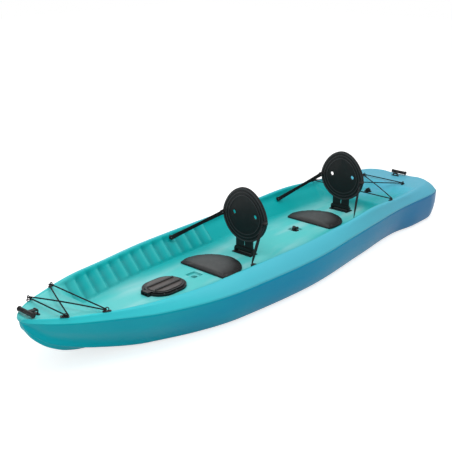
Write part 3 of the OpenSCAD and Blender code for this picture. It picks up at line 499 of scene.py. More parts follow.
def oblong(centre, l, w, z):
    """Shape of a plate with round ends along X."""
    flat = (l - w) / 2

    def shape(t):
        side = flat if math.cos(t) > 0 else -flat
        return Vector((centre.x + side + w / 2 * math.cos(t), centre.y + w / 2 * math.sin(t), z))
    return shape


# Shader helpers

class Nodes:
    """Shader nodes of one tree."""

    def __init__(self, tree):
        self.tree = tree

    def give(self, socket, value):
        """Links a socket to another, or sets it to a value."""
        if isinstance(value, bpy.types.NodeSocket):
            self.tree.links.new(value, socket)
        else:
            socket.default_value = value

    def put(self, kind, inputs=None, **settings):
        """A node with its settings and its inputs."""
        made = self.tree.nodes.new(kind)
        for k, v in settings.items():
            setattr(made, k, v)
        for k, v in (inputs or {}).items():
            self.give(made.inputs[k], v)
        return made

    def math(self, operation, *values):
        return self.put("ShaderNodeMath", dict(enumerate(values)), operation=operation).outputs[0]

    def times(self, first, *others):
        for v in others:
            first = self.math("MULTIPLY", first, v)
        return first

    def mix(self, factor, a, b):
        """Mix of two colours."""
        return self.put("ShaderNodeMix", {0: factor, 6: a, 7: b}, data_type="RGBA").outputs[2]

    def ranged(self, value, low, high, to_low=0.0, to_high=1.0):
        return self.put("ShaderNodeMapRange", {
            "Value": value, "From Min": low, "From Max": high, "To Min": to_low, "To Max": to_high},
            interpolation_type="SMOOTHSTEP").outputs["Result"]

    def noise(self, vector, scale, detail=3.0, roughness=0.55):
        return self.put("ShaderNodeTexNoise", {
            "Vector": vector, "Scale": scale, "Detail": detail, "Roughness": roughness}).outputs["Fac"]

    def place(self, kind="Object"):
        return self.put("ShaderNodeTexCoord").outputs[kind]

    def stretched(self, scale):
        """Object coordinates, scaled along each axis."""
        return self.put("ShaderNodeMapping", {"Vector": self.place(), "Scale": scale}).outputs["Vector"]

    def axes(self, vector):
        return self.put("ShaderNodeSeparateXYZ", {0: vector}).outputs

    def kept(self, name):
        """Value that a mesh keeps on its points."""
        return self.put("ShaderNodeAttribute", attribute_name=name).outputs["Fac"]


def new_group(name, inputs, outputs):
    """A shader node group: its nodes, the sockets that it is given and the sockets that it fills."""
    tree = bpy.data.node_groups.new(name, "ShaderNodeTree")
    for label, value in inputs.items():
        kind = "NodeSocketColor" if isinstance(value, tuple) else "NodeSocketFloat"
        tree.interface.new_socket(name=label, in_out="INPUT", socket_type=kind).default_value = value
    for label in outputs:
        kind = "NodeSocketColor" if label == "Color" else "NodeSocketFloat"
        tree.interface.new_socket(name=label, in_out="OUTPUT", socket_type=kind)
    return Nodes(tree), tree.nodes.new("NodeGroupInput").outputs, tree.nodes.new("NodeGroupOutput").inputs


# Colours of the floor's streaks, of deeper patches and of the shade at a step's foot
STREAK, DEEP, FOOT_SHADE = (0.62, 0.84, 0.86, 1), (0.0, 0.25, 0.34, 1), (0.0, 0.2, 0.22, 1)


def ombre_group(name):
    """Plastics that run into each other along the boat, with another and pale swirls inside the cockpit."""
    n, given, out = new_group(name, {
        "Bow": (0.04, 0.56, 0.6, 1), "Middle": (0.03, 0.42, 0.6, 1), "Stern": (0.08, 0.3, 0.5, 1),
        "Cockpit": (0.03, 0.6, 0.6, 1), "Swirl": (0.6, 0.9, 0.85, 1), "Swirl Amount": 0.3},
        ("Color", "Roughness", "Height"))
    where = n.place()
    x, y, z = n.axes(where)
    inside, brace, foot = (n.kept(mark_name) for mark_name in ("inside", "brace", "foot"))
    cloud = n.noise(n.stretched((1.2, 4.0, 5.0)), 1.6, 4.0)
    along = n.math("ADD", x, n.times(n.math("SUBTRACT", cloud, 0.5), 0.8))
    outer = n.mix(n.ranged(along, 1.7, 0.1), given["Bow"], given["Middle"])
    outer = n.mix(n.ranged(along, -0.1, -1.5), outer, given["Stern"])
    base = n.mix(n.times(inside, n.ranged(along, -1.5, -0.9)), outer, given["Cockpit"])
    streak = n.ranged(n.noise(n.stretched((1.0, 4.5, 4.5)), 2.0, 2.5, 0.5), 0.4, 0.75)
    low = n.times(n.ranged(z, 0.2, 0.15), n.ranged(n.math("ABSOLUTE", y), 0.27, 0.09))
    foredeck = n.ranged(x, 1.12, 1.36)
    floor = n.mix(n.times(n.math("MAXIMUM", low, foredeck), inside, 0.55), base, given["Swirl"])
    swirled = n.mix(n.times(streak, low, inside, given["Swirl Amount"]), floor, STREAK)
    toned = n.mix(n.times(n.noise(where, 4.0, 3.0), 0.14), swirled, DEEP)
    shaded = n.mix(n.times(foot, 0.55), toned, FOOT_SHADE)
    # Paler crests on the foot-brace steps: a painted highlight
    crest = n.times(n.ranged(brace, 0.6, 1.0), 0.35)
    n.give(out["Color"], n.mix(crest, shaded, given["Swirl"]))
    scuff = n.noise(n.stretched((3.0, 14.0, 14.0)), 9.0, 4.0, 0.6)
    n.give(out["Roughness"], n.ranged(scuff, 0.3, 0.75, 0.28, 0.4))
    fine, coarse = n.times(n.noise(where, 140.0, 2.0), 0.2), n.times(n.noise(where, 22.0, 2.0), 0.8)
    n.give(out["Height"], n.math("ADD", fine, coarse))
    return n.tree


def grain_group(name):
    """Fine moulded grain with paler rubbed patches, and another colour on the points that a piece marks."""
    n, given, out = new_group(name, {
        "Color": (0.02, 0.02, 0.02, 1), "Rubbed": (0.08, 0.08, 0.085, 1), "Marked": (0.03, 0.03, 0.03, 1),
        "Scale": 420.0, "Smooth": 0.34, "Rough": 0.56}, ("Color", "Roughness", "Height"))
    where = n.place()
    worn = n.ranged(n.noise(where, 18.0, 5.0, 0.65), 0.5, 0.85)
    plain = n.mix(worn, given["Color"], given["Rubbed"])
    n.give(out["Color"], n.mix(n.kept("marked"), plain, given["Marked"]))
    span = n.math("SUBTRACT", given["Rough"], given["Smooth"])
    patch = n.noise(where, 34.0, 4.0, 0.6)
    n.give(out["Roughness"], n.math("MULTIPLY_ADD", patch, span, given["Smooth"]))
    cells = n.put("ShaderNodeTexVoronoi", {"Vector": where, "Scale": given["Scale"]}, feature="SMOOTH_F1")
    n.give(out["Height"], cells.outputs["Distance"])
    return n.tree


def weave_group(name):
    """Crossing threads over the piece's own map, for webbing and cord sleeves."""
    n, given, out = new_group(name, {
        "Color": (0.02, 0.02, 0.02, 1), "Crown": (0.07, 0.07, 0.075, 1), "Along": 500.0, "Across": 500.0},
        ("Color", "Height"))
    u, v, _ = n.axes(n.place("UV"))
    waves = n.math("SINE", n.times(u, given["Along"])), n.math("SINE", n.times(v, given["Across"]))
    thread = n.ranged(n.times(*waves), -1.0, 1.0)
    n.give(out["Color"], n.mix(thread, given["Color"], given["Crown"]))
    n.give(out["Height"], thread)
    return n.tree


OMBRE, GRAIN, WEAVE = "Ombre plastic", "Moulded grain", "Woven threads"
GROUPS = {OMBRE: ombre_group, GRAIN: grain_group, WEAVE: weave_group}


def empty_tree(owner):
    owner.use_nodes = True
    owner.node_tree.nodes.clear()
    return Nodes(owner.node_tree)


def new_material(name, group, inputs, bump, distance, roughness=None, **shader):
    """A material whose Principled shader takes its colour, roughness and bump from a group."""
    found = bpy.data.materials.get(name)
    if found:
        return found
    mat = bpy.data.materials.new(name)
    n = empty_tree(mat)
    tree = bpy.data.node_groups.get(group) or GROUPS[group](group)
    made = n.put("ShaderNodeGroup", inputs, node_tree=tree).outputs
    relief = n.put("ShaderNodeBump", {"Strength": bump, "Distance": distance, "Height": made["Height"]})
    bsdf = n.put("ShaderNodeBsdfPrincipled", {
        "Base Color": made["Color"], "Normal": relief.outputs["Normal"],
        "Roughness": made["Roughness"] if roughness is None else roughness,
        **{k.replace("_", " "): v for k, v in shader.items()}})
    n.put("ShaderNodeOutputMaterial", {"Surface": bsdf.outputs[0]})
    return mat


def rgba(c):
    return (*c, 1.0)


def lighter(c, k):
    return tuple(min(1.0, v * k + 0.004) for v in c) + (1.0,)


# Plain finishes: group, colour, how much paler the worn places are, values of the group and of the shader
FINISHES = {
    "Black plastic": (GRAIN, "black", 1.7, {"Scale": 420.0},
                      {"bump": 0.12, "distance": 0.0006, "Specular_IOR_Level": 0.3}),
    "Lid plastic": (GRAIN, "lid", 1.4, {"Scale": 320.0, "Smooth": 0.3, "Rough": 0.46},
                    {"bump": 0.16, "distance": 0.0008, "Specular_IOR_Level": 0.3}),
    "Pad foam": (GRAIN, "pad", 1.6, {"Scale": 700.0, "Smooth": 0.36, "Rough": 0.55},
                 {"bump": 0.2, "distance": 0.0006, "Specular_IOR_Level": 0.4}),
    "Plug rubber": (GRAIN, "black", 1.5, {"Scale": 600.0, "Smooth": 0.5, "Rough": 0.7},
                    {"bump": 0.1, "distance": 0.0004}),
    "Stainless steel": (GRAIN, "steel", 1.2, {"Scale": 900.0, "Smooth": 0.22, "Rough": 0.4},
                        {"bump": 0.05, "distance": 0.0002, "Metallic": 1.0}),
    "Webbing": (WEAVE, "webbing", 2.4, {"Along": 2600.0, "Across": 3600.0},
                {"bump": 0.5, "distance": 0.0006, "roughness": 0.72, "Specular_IOR_Level": 0.2}),
    "Cord sleeve": (WEAVE, "cord", 2.2, {"Along": 3000.0, "Across": 25.0},
                    {"bump": 0.5, "distance": 0.0006, "roughness": 0.66, "Specular_IOR_Level": 0.2}),
}
# How much paler the marked points of black plastic are, a painted highlight on the seat backs' beads, where
# other grains turn black
BEAD_HIGHLIGHT = 5.0
# Boat plastics: colours from bow to stern, amount of swirl and gloss; the hull's colours hold painted shade
PLASTICS = {"Deck plastic": ("teal", "azure", "slate", 0.45, 0.16),
            "Hull plastic": ("shaded_hull_teal", "shaded_hull_azure", "shaded_hull_slate", 0.0, 0.08)}


def finish(name):
    """A plain finish from the table."""
    group, tone, wear, values, shader = FINISHES[name]
    c = bpy.context.scene.kayak_colours
    own = getattr(c, tone)
    inputs = {"Color": rgba(own), **values}
    if group == GRAIN:
        inputs["Rubbed"] = lighter(own, wear)
        # Marked points: on black plastic paler, a painted highlight; on other grains black, which on the pads
        # is painted shade
        inputs["Marked"] = lighter(own, BEAD_HIGHLIGHT) if tone == "black" else rgba(c.black)
    else:
        inputs["Crown"] = lighter(own, wear)
    return new_material(name, group, inputs, **shader)


def boat_plastic(name):
    """One of the boat's plastics from the table."""
    *tones, swirl, gloss = PLASTICS[name]
    c = bpy.context.scene.kayak_colours
    inputs = {socket: rgba(getattr(c, tone)) for socket, tone in zip(("Bow", "Middle", "Stern"), tones)}
    inputs.update({"Cockpit": rgba(c.cockpit), "Swirl": rgba(c.pale), "Swirl Amount": swirl})
    return new_material(name, OMBRE, inputs, bump=0.06, distance=0.002, Specular_IOR_Level=gloss)


# Pieces

class KAYAK_OT_stage(Operator):
    """Pale floor, soft light and the camera at the photograph's angle"""

    bl_idname = "kayak.stage"
    bl_label = "Stage"
    # Camera: its heading and rise seen from the boat, its place, its sensor's width, its focal length as a
    # share of that width, and how far it sees
    HEADING, RISE = math.radians(41.8), math.radians(20.1)
    PLACE = (3.49, 2.87, 1.93)
    SENSOR, FOCAL, FAR_CLIP = 36.0, 806 / 452, 100.0
    # Floor: half its side, its level, its grey and the glow that the camera and reflections see
    FLOOR_SIDE, FLOOR_Z, FLOOR_GREY, FLOOR_GLOW = 14.0, -0.0005, 0.62, 0.72
    # Strength of the sky as a light, and as the camera sees it
    SKY_LIGHT, SKY_SEEN = 0.5, 1.0
    # Lamps: place, target, size and power
    LAMPS = {"Overhead": ((0.2, 0.3, 3.6), (0, 0, 0), (4.6, 3.0), 82),
             "Bow side": ((3.6, 2.6, 1.6), (0, 0, 0.15), (2.4, 1.6), 20),
             "Far side": ((-1.2, -3.6, 2.4), (0, 0, 0.2), (3.0, 1.6), 22)}

    def execute(self, context):
        scene = context.scene
        scene.view_settings.view_transform = "Standard"
        self.camera(scene)
        self.floor()
        self.world(scene)
        for name, lamp in self.LAMPS.items():
            self.lamp(scene, name, *lamp)
        return {"FINISHED"}

    def camera(self, scene):
        data = bpy.data.cameras.new("Camera")
        data.sensor_width = self.SENSOR
        data.lens = self.SENSOR * self.FOCAL
        data.clip_end = self.FAR_CLIP
        cam = bpy.data.objects.new("Camera", data)
        scene.collection.objects.link(cam)
        cam.location = self.PLACE
        cam.rotation_euler = (math.pi / 2 - self.RISE, 0, math.pi / 2 + self.HEADING)
        scene.camera = cam

    def floor(self):
        bm = bmesh.new()
        bmesh.ops.create_grid(bm, x_segments=1, y_segments=1, size=self.FLOOR_SIDE)
        bmesh.ops.translate(bm, verts=bm.verts, vec=(0, 0, self.FLOOR_Z))
        obj = shown(mesh_from(bm, "floor"), "floor")
        mat = bpy.data.materials.new("Pale floor")
        n = empty_tree(mat)
        matte = n.put("ShaderNodeBsdfDiffuse", {"Color": (*[self.FLOOR_GREY] * 3, 1)}).outputs[0]
        glow = n.put("ShaderNodeEmission", {"Color": (1, 1, 1, 1), "Strength": self.FLOOR_GLOW}).outputs[0]
        both = n.put("ShaderNodeAddShader", {0: matte, 1: glow}).outputs[0]
        path = n.put("ShaderNodeLightPath").outputs
        mirrored = n.math("MAXIMUM", path["Is Glossy Ray"], path["Is Transmission Ray"])
        seen = n.math("MAXIMUM", path["Is Camera Ray"], mirrored)
        choose = n.put("ShaderNodeMixShader", {0: seen, 1: matte, 2: both}).outputs[0]
        n.put("ShaderNodeOutputMaterial", {"Surface": choose})
        obj.data.materials.append(mat)

    def world(self, scene):
        scene.world = bpy.data.worlds.new("Studio")
        n = empty_tree(scene.world)
        path = n.put("ShaderNodeLightPath").outputs
        level = n.ranged(path["Is Camera Ray"], 0.0, 1.0, self.SKY_LIGHT, self.SKY_SEEN)
        sky = n.put("ShaderNodeBackground", {"Color": (1, 1, 1, 1), "Strength": level}).outputs[0]
        n.put("ShaderNodeOutputWorld", {"Surface": sky})

    @staticmethod
    def lamp(scene, name, place, target, size, power):
        data = bpy.data.lights.new(name, "AREA")
        data.shape = "RECTANGLE"
        data.size, data.size_y = size
        data.energy = power
        obj = bpy.data.objects.new(name, data)
        scene.collection.objects.link(obj)
        obj.location = place
        obj.rotation_euler = (Vector(target) - Vector(place)).to_track_quat("-Z", "Y").to_euler()


class KAYAK_OT_bungees(Operator):
    """Bow and stern bungees, each laced tight over four eyes"""

    bl_idname = "kayak.bungees"
    bl_label = "Bungees"

    # Leg of the forward and of the aft eye that carries the cord, on the port side: place, lie and upright
    BOW = (((1.51907, 0.14343, 0.29783), (-0.9030, 0.3657, -0.2254), (-0.0513, 0.4291, 0.9018)),
           ((1.35215, 0.20882, 0.28754), (0.9246, -0.3689, 0.0947), (-0.0938, 0.0205, 0.9954)))
    STERN = (((-1.41125, 0.16140, 0.25625), (0.9878, 0.1552, 0.0116), (-0.0118, 0.0, 0.9999)),
             ((-0.99474, 0.31840, 0.27810), (-0.9959, -0.0552, -0.0711), (-0.0673, -0.0683, 0.9954)))
    TURN_STEPS = 8
    RUN_STEPS = 16
    # Thickness of the woven sleeve over the rubber
    SLEEVE = 0.001
    # Rise and fall of the four runs half-way along, in thicknesses of the cord, where two of them cross
    LIFT = (0.8, 0, -0.8, 0)

    def execute(self, context):
        s = context.scene.kayak_sizes
        for name, eyes in (("bow_bungee", self.BOW), ("stern_bungee", self.STERN)):
            obj = tube(self.route(eyes, s), s.cord_d / 2 + self.SLEEVE, name + "_cord")
            dressed(obj, finish("Cord sleeve"), "boat", name)
        return {"FINISHED"}

    def route(self, eyes, s):
        """Points of the lacing: round each leg, with the two long runs crossing one over the other."""
        mirror = Vector((1, -1, 1))
        near, far = ([Vector(v) for v in e] for e in eyes)
        order = [[v * mirror for v in near], far, [v * mirror for v in far], near]
        turns = []
        for i, (c, ex, n) in enumerate(order):
            ey = n.cross(ex)
            p, q = order[i - 1][0] - c, order[(i + 1) % 4][0] - c
            into = Vector((p.dot(ex), p.dot(ey))).normalized()
            out = Vector((q.dot(ex), q.dot(ey))).normalized()
            spin = 1 if into.x * out.y - into.y * out.x > 0 else -1
            start = math.atan2(into.y, into.x) - spin * math.pi / 2
            sweep = math.pi - math.acos(max(-1, min(1, into.dot(out))))
            angles = [start - spin * sweep * k / self.TURN_STEPS for k in range(self.TURN_STEPS + 1)]
            turns.append([c + s.turn_r * (math.cos(b) * ex + math.sin(b) * ey) for b in angles])
        points = []
        for i, lift in enumerate(self.LIFT):
            a, b = turns[i][-1], turns[(i + 1) % 4][0]
            points += turns[i]
            for k in range(1, self.RUN_STEPS):
                u = k / self.RUN_STEPS
                points.append(a.lerp(b, u) + Vector((0, 0, s.cord_d * lift * math.sin(math.pi * u))))
        return points


def ring_frame(points, i):
    """Place and turn of a tube's ring at one of its points, square to the run."""
    t = (points[(i + 1) % len(points)] - points[i - 1]).normalized()
    side = t.cross(Vector((0, 0, 1))).normalized()
    return Matrix.Translation(points[i]) @ Matrix((side, t.cross(side), t)).transposed().to_4x4()


def tube(points, radius, name, sides=12):
    """A closed round tube along points, with a map that runs along it in metres and once round it."""
    n = len(points)
    bm = bmesh.new()
    layer = bm.loops.layers.uv.new("Map")
    ring_no, side_no = bm.verts.layers.int.new("ring"), bm.verts.layers.int.new("side")
    made = bmesh.ops.create_circle(bm, cap_ends=False, radius=radius, segments=sides,
                                   matrix=ring_frame(points, 0))["verts"]
    for k, v in enumerate(made):
        v[side_no] = k
    first = ring = ring_edges(made)
    for i in range(1, n):
        made = extruded(bm, ring)
        step = ring_frame(points, i) @ ring_frame(points, i - 1).inverted()
        bmesh.ops.transform(bm, verts=made, matrix=step)
        for v in made:
            v[ring_no] = i
        ring = ring_edges(made)
    bmesh.ops.bridge_loops(bm, edges=ring + first)
    run = np.cumsum([0.0] + [(points[(i + 1) % n] - points[i]).length for i in range(n)])
    for f in bm.faces:
        rings, places = [v[ring_no] for v in f.verts], [v[side_no] for v in f.verts]
        last = max(rings) == n - 1 and min(rings) == 0
        over = max(places) == sides - 1 and min(places) == 0
        for loop in f.loops:
            i, k = loop.vert[ring_no], loop.vert[side_no]
            loop[layer].uv = (run[n if last and i == 0 else i], (sides if over and k == 0 else k) / sides)
    bmesh.ops.recalc_face_normals(bm, faces=bm.faces)
    return shown(mesh_from(bm, name), name, SOFT_ANGLE)


def formed_sheet(bm, node, up, wall):
    """The deck or the hull: a sheet that looks up or down, with its wall behind."""
    turned_towards(bm, Vector((0, 0, up)))
    obj = shown(mesh_from(bm, node + "_shell"), node + "_shell", SHEET_ANGLE)
    thickened(obj, "Wall", wall)
    dressed(obj, boat_plastic(node.capitalize() + " plastic"), "boat", node)


class KAYAK_OT_deck(Operator):
    """Upper formed sheet: foot braces, floor, sumps, stern well and decks"""

    bl_idname = "kayak.deck"
    bl_label = "Deck"
    # Points in each run between rows, the row where the cockpit's plastic starts and the rows it takes
    RUNS = (4, 3, 3, 3, 4, 6, 6, 5, 5, 5)
    INSIDE_ROW, INSIDE_ROWS = 2.4, 1.6
    # Rows between which the side wall lies
    WALL_TOP, WALL_FOOT = 4, 8
    # Holes: how far past their edge faces are cut away, how far off their edges lie, and depths of the lips
    HATCH_CUT, HATCH_REACH, HATCH_LIPS = 0.016, 0.2, (0.0, 0.002)
    SUMP_CUT, SUMP_REACH, SUMP_POWER = 0.022, 0.12, 14.0
    SUMP_LIPS = ((0.003, 0.0), (0.0012, 0.0003), (0.0003, 0.0012), (0.0, 0.0034))

    def execute(self, context):
        s = context.scene.kayak_sizes
        lines = Lines(s)
        x = lines.stations()
        half = lines.rounded_ends(x, sampled(lines.deck_rows(x, lines.rib(x)), self.RUNS))
        row = np.concatenate([k + np.arange(n) / n for k, n in enumerate(self.RUNS)] + [[len(self.RUNS)]])
        on_wall = (smooth_step(row - self.WALL_TOP) * smooth_step(self.WALL_FOOT - row))[None]
        # brace carries the painted highlight on the steps' crests, foot the painted shade at their feet
        bm = shell_grid(x, half, {
            "inside": np.tile(smooth_step((row - self.INSIDE_ROW) / self.INSIDE_ROWS), (len(x), 1)),
            "brace": (lines.rib(x) / s.rib_d)[:, None] * on_wall,
            "foot": lines.rib_foot(x)[:, None] * on_wall})
        self.hatch_hole(bm, s)
        for place in (s.scupper_front_x, s.scupper_rear_x):
            self.sump_hole(bm, s, Vector((place, 0)), lines.floor_at(place))
        formed_sheet(bm, "deck", 1, s.wall)
        return {"FINISHED"}

    def hatch_hole(self, bm, s):
        centre = Vector((s.hatch_x, 0))
        flat = (s.hatch_hole_l - s.hatch_hole_w) / 2
        cut = s.hatch_hole_w / 2 + self.HATCH_CUT

        def inside(co):
            dx = max(0.0, abs(co.x - centre.x) - flat)
            return math.hypot(dx, co.y) < cut and co.z < s.floor_h + CUT_TOP
        cut_hole(bm, inside, centre, self.HATCH_REACH, [
            oblong(centre, s.hatch_hole_l, s.hatch_hole_w, s.floor_h - drop) for drop in self.HATCH_LIPS])

    def sump_hole(self, bm, s, centre, z):
        a = s.sump_w / 2

        def inside(co):
            return max(abs(co.x - centre.x), abs(co.y)) < a + self.SUMP_CUT and co.z < z + CUT_TOP
        cut_hole(bm, inside, centre, self.SUMP_REACH, [
            rounded_square(centre, a + past, z - drop, self.SUMP_POWER) for past, drop in self.SUMP_LIPS])


class KAYAK_OT_hull(Operator):
    """Lower formed sheet, from the keel up to the crease"""

    bl_idname = "kayak.hull"
    bl_label = "Hull"
    RUNS = (4, 4, 4, 4, 4, 4, 6, 6)
    # Holes of the scuppers: gap round the flange, how far past it faces are cut away and up to what height,
    # how far off their edges lie, and how wide and high their lip is
    DRAIN_GAP, DRAIN_CUT, DRAIN_TOP, DRAIN_REACH = 0.0003, 0.02, 0.02, 0.11
    DRAIN_LIPS = ((0.002, 0.0), (0.0006, 0.0005), (0.0, 0.0018))

    def execute(self, context):
        s = context.scene.kayak_sizes
        lines = Lines(s)
        x = lines.stations()
        half = lines.rounded_ends(x, sampled(lines.hull_rows(x), self.RUNS))
        bm = shell_grid(x, half[:, ::-1])
        for place in (s.scupper_front_x, s.scupper_rear_x):
            self.drain_hole(bm, Vector((place, 0)), s.flange_d / 2 + self.DRAIN_GAP)
        formed_sheet(bm, "hull", -1, s.wall)
        return {"FINISHED"}

    def drain_hole(self, bm, centre, r):
        def inside(co):
            return math.hypot(co.x - centre.x, co.y) < r + self.DRAIN_CUT and co.z < self.DRAIN_TOP
        cut_hole(bm, inside, centre, self.DRAIN_REACH, [
            rounded_square(centre, r + past, z, 2.0) for past, z in self.DRAIN_LIPS])


def evaluated(obj):
    """The mesh that an object's modifiers make of it."""
    return bpy.data.meshes.new_from_object(obj.evaluated_get(bpy.context.evaluated_depsgraph_get()))


# Share of a voxel's height up to which a swelling mesh is held
HELD_SHARE = 0.6


def swollen(mesh, voxel, pressure, cap, frames):
    """A mesh that cloth pressure has blown up a little, with its underside held flat."""
    scene = bpy.context.scene
    obj = shown(mesh, "swelling")
    grid = obj.modifiers.new("Even grid", "REMESH")
    grid.mode = "VOXEL"
    grid.voxel_size = voxel
    start = evaluated(obj)
    obj.modifiers.clear()
    obj.data = start
    held = obj.vertex_groups.new(name="held")
    held.add([v.index for v in start.vertices if v.co.z < voxel * HELD_SHARE], 1.0, "REPLACE")
    cloth = obj.modifiers.new("Pressure", "CLOTH")
    cloth.settings.use_pressure = True
    cloth.settings.uniform_pressure_force = pressure
    cloth.settings.effector_weights.gravity = 0.0
    cloth.settings.vertex_group_mass = "held"
    for f in range(1, frames + 1):
        scene.frame_set(f)
    end = evaluated(obj)
    for a, b in zip(start.vertices, end.vertices):
        step = b.co - a.co
        if step.length > cap:
            b.co = a.co + step * (cap / step.length)
    scene.frame_set(1)
    bpy.data.objects.remove(obj)
    return end


class KAYAK_OT_pads(Operator):
    """Two foam seat pads, crowned by pressure, with a pressed channel inside their rim"""

    bl_idname = "kayak.pads"
    bl_label = "Seat pads"
    SEGMENTS = 120
    # Share of the outline and of the side's height for each ring, from the bottom to the crown
    RINGS = ((0.95, 0.0), (0.975, 0.15), (0.988, 0.45), (0.975, 0.7), (0.95, 0.8), (0.9, 0.82), (0.8, 0.88),
             (0.6, 0.95), (0.4, 1.0), (0.2, 1.02))
    # Level of the underside over the floor, and share of the side's height above which the channel is pressed
    UNDERSIDE, PRESSED_FROM = 0.0004, 0.6
    # Cloth: size of its grid, pressure, greatest move of a point and number of frames
    VOXEL, PRESSURE, CAP, FRAMES = 0.005, 4.0, 0.005, 20
    # Pressed channel: its place as a share of the outline, half its width and its depth
    CHANNEL = (0.9, 0.02, 0.0024)
    # Shares of the outline between which the foam darkens to black towards its edge, a painted shade of the
    # pad's rounded side
    EDGE_SHADE = (0.4, 0.97)

    def execute(self, context):
        s = context.scene.kayak_sizes
        lines = Lines(s)
        r = (s.pad_depth ** 2 + (s.pad_w / 2) ** 2) / (2 * s.pad_depth)
        front = s.pad_depth - r
        mesh = self.form(s, r, front)
        mesh = swollen(mesh, self.VOXEL, self.PRESSURE, self.CAP, self.FRAMES)
        mesh = self.pressed(mesh, s, r, front)
        for seat, hinge in seats(s):
            own = mesh.copy()
            own.transform(Matrix.Translation((hinge + s.pad_gap + r, 0, lines.floor_at(hinge))))
            obj = shown(own, seat + "_pad_foam", SOFT_ANGLE)
            dressed(obj, finish("Pad foam"), "boat", seat + "_seat_pad")
        return {"FINISHED"}

    @staticmethod
    def edge(t, r, front):
        """Point of the outline at an angle: a circle, cut straight at the front."""
        x, y = r * math.cos(t), r * math.sin(t)
        k = front / x if x > front else 1.0
        return Vector((k * x, k * y))

    def form(self, s, r, front):
        """A pad before it swells, with a point of its outline at each corner."""
        bm = bmesh.new()
        corner = math.atan2(s.pad_w / 2, front)
        made = bmesh.ops.create_circle(bm, cap_ends=False, radius=1.0, segments=self.SEGMENTS)["verts"]
        last = self.RINGS[0][0]
        for v in made:
            t = math.atan2(v.co.y, v.co.x)
            near = min((corner, -corner), key=lambda c: abs(c - t))
            edge = self.edge(near if abs(near - t) < math.pi / self.SEGMENTS else t, r, front)
            v.co = (*(last * edge), self.UNDERSIDE)
        ring = ring_edges(made)
        bmesh.ops.contextual_create(bm, geom=ring)
        for k, z in self.RINGS[1:]:
            made = extruded(bm, ring)
            for v in made:
                v.co = (*(v.co.xy * (k / last)), z * s.pad_t)
            ring, last = ring_edges(made), k
        bmesh.ops.contextual_create(bm, geom=ring)
        bmesh.ops.recalc_face_normals(bm, faces=bm.faces)
        return mesh_from(bm, "pad")

    def pressed(self, mesh, s, r, front):
        """Subdivides a pad once and presses the channel into its top."""
        obj = shown(mesh, "pressing")
        fine = obj.modifiers.new("Fine", "SUBSURF")
        fine.levels = fine.render_levels = 1
        made = evaluated(obj)
        bpy.data.objects.remove(obj)
        place, width, depth = self.CHANNEL
        for v in made.vertices:
            v.co.z = max(v.co.z, self.UNDERSIDE)
            if v.co.z >= self.PRESSED_FROM * s.pad_t:
                v.co.z -= depth * math.exp(-((self.share(v.co, r, front) - place) / width) ** 2)
        # The foam darkens towards its edge as painted shade
        low, high = self.EDGE_SHADE
        mark(made, "marked", lambda co: float(smooth_step((self.share(co, r, front) - low) / (high - low))))
        return made

    def share(self, co, r, front):
        """How far out a point lies, as a share of the outline."""
        return co.xy.length / self.edge(math.atan2(co.y, co.x), r, front).length


class KAYAK_OT_seat_backs(Operator):
    """Two folding seat backs with rounded edges"""

    bl_idname = "kayak.seat_backs"
    bl_label = "Seat backs"
    # Where the paler tops of the beads start in front of the plate, and their depth; the paler tops are a
    # painted highlight
    BEAD_FOOT = 0.001
    BEAD_TOP = 0.002
    ROUNDING = 0.0014

    def execute(self, context):
        s = context.scene.kayak_sizes
        for seat, hinge in seats(s):
            obj = softened(seat + "_seat_back", seat + "_back_shell", self.ROUNDING, 3)
            face = hinge + s.back_t / 2 + self.BEAD_FOOT
            # Bead tops are marked for a painted highlight, paler than the plate
            mark(obj.data, "marked", lambda co: float(face < co.x < face + self.BEAD_TOP))
            dressed(obj, finish("Black plastic"), seat + "_back", seat + "_seat_back")
        return {"FINISHED"}


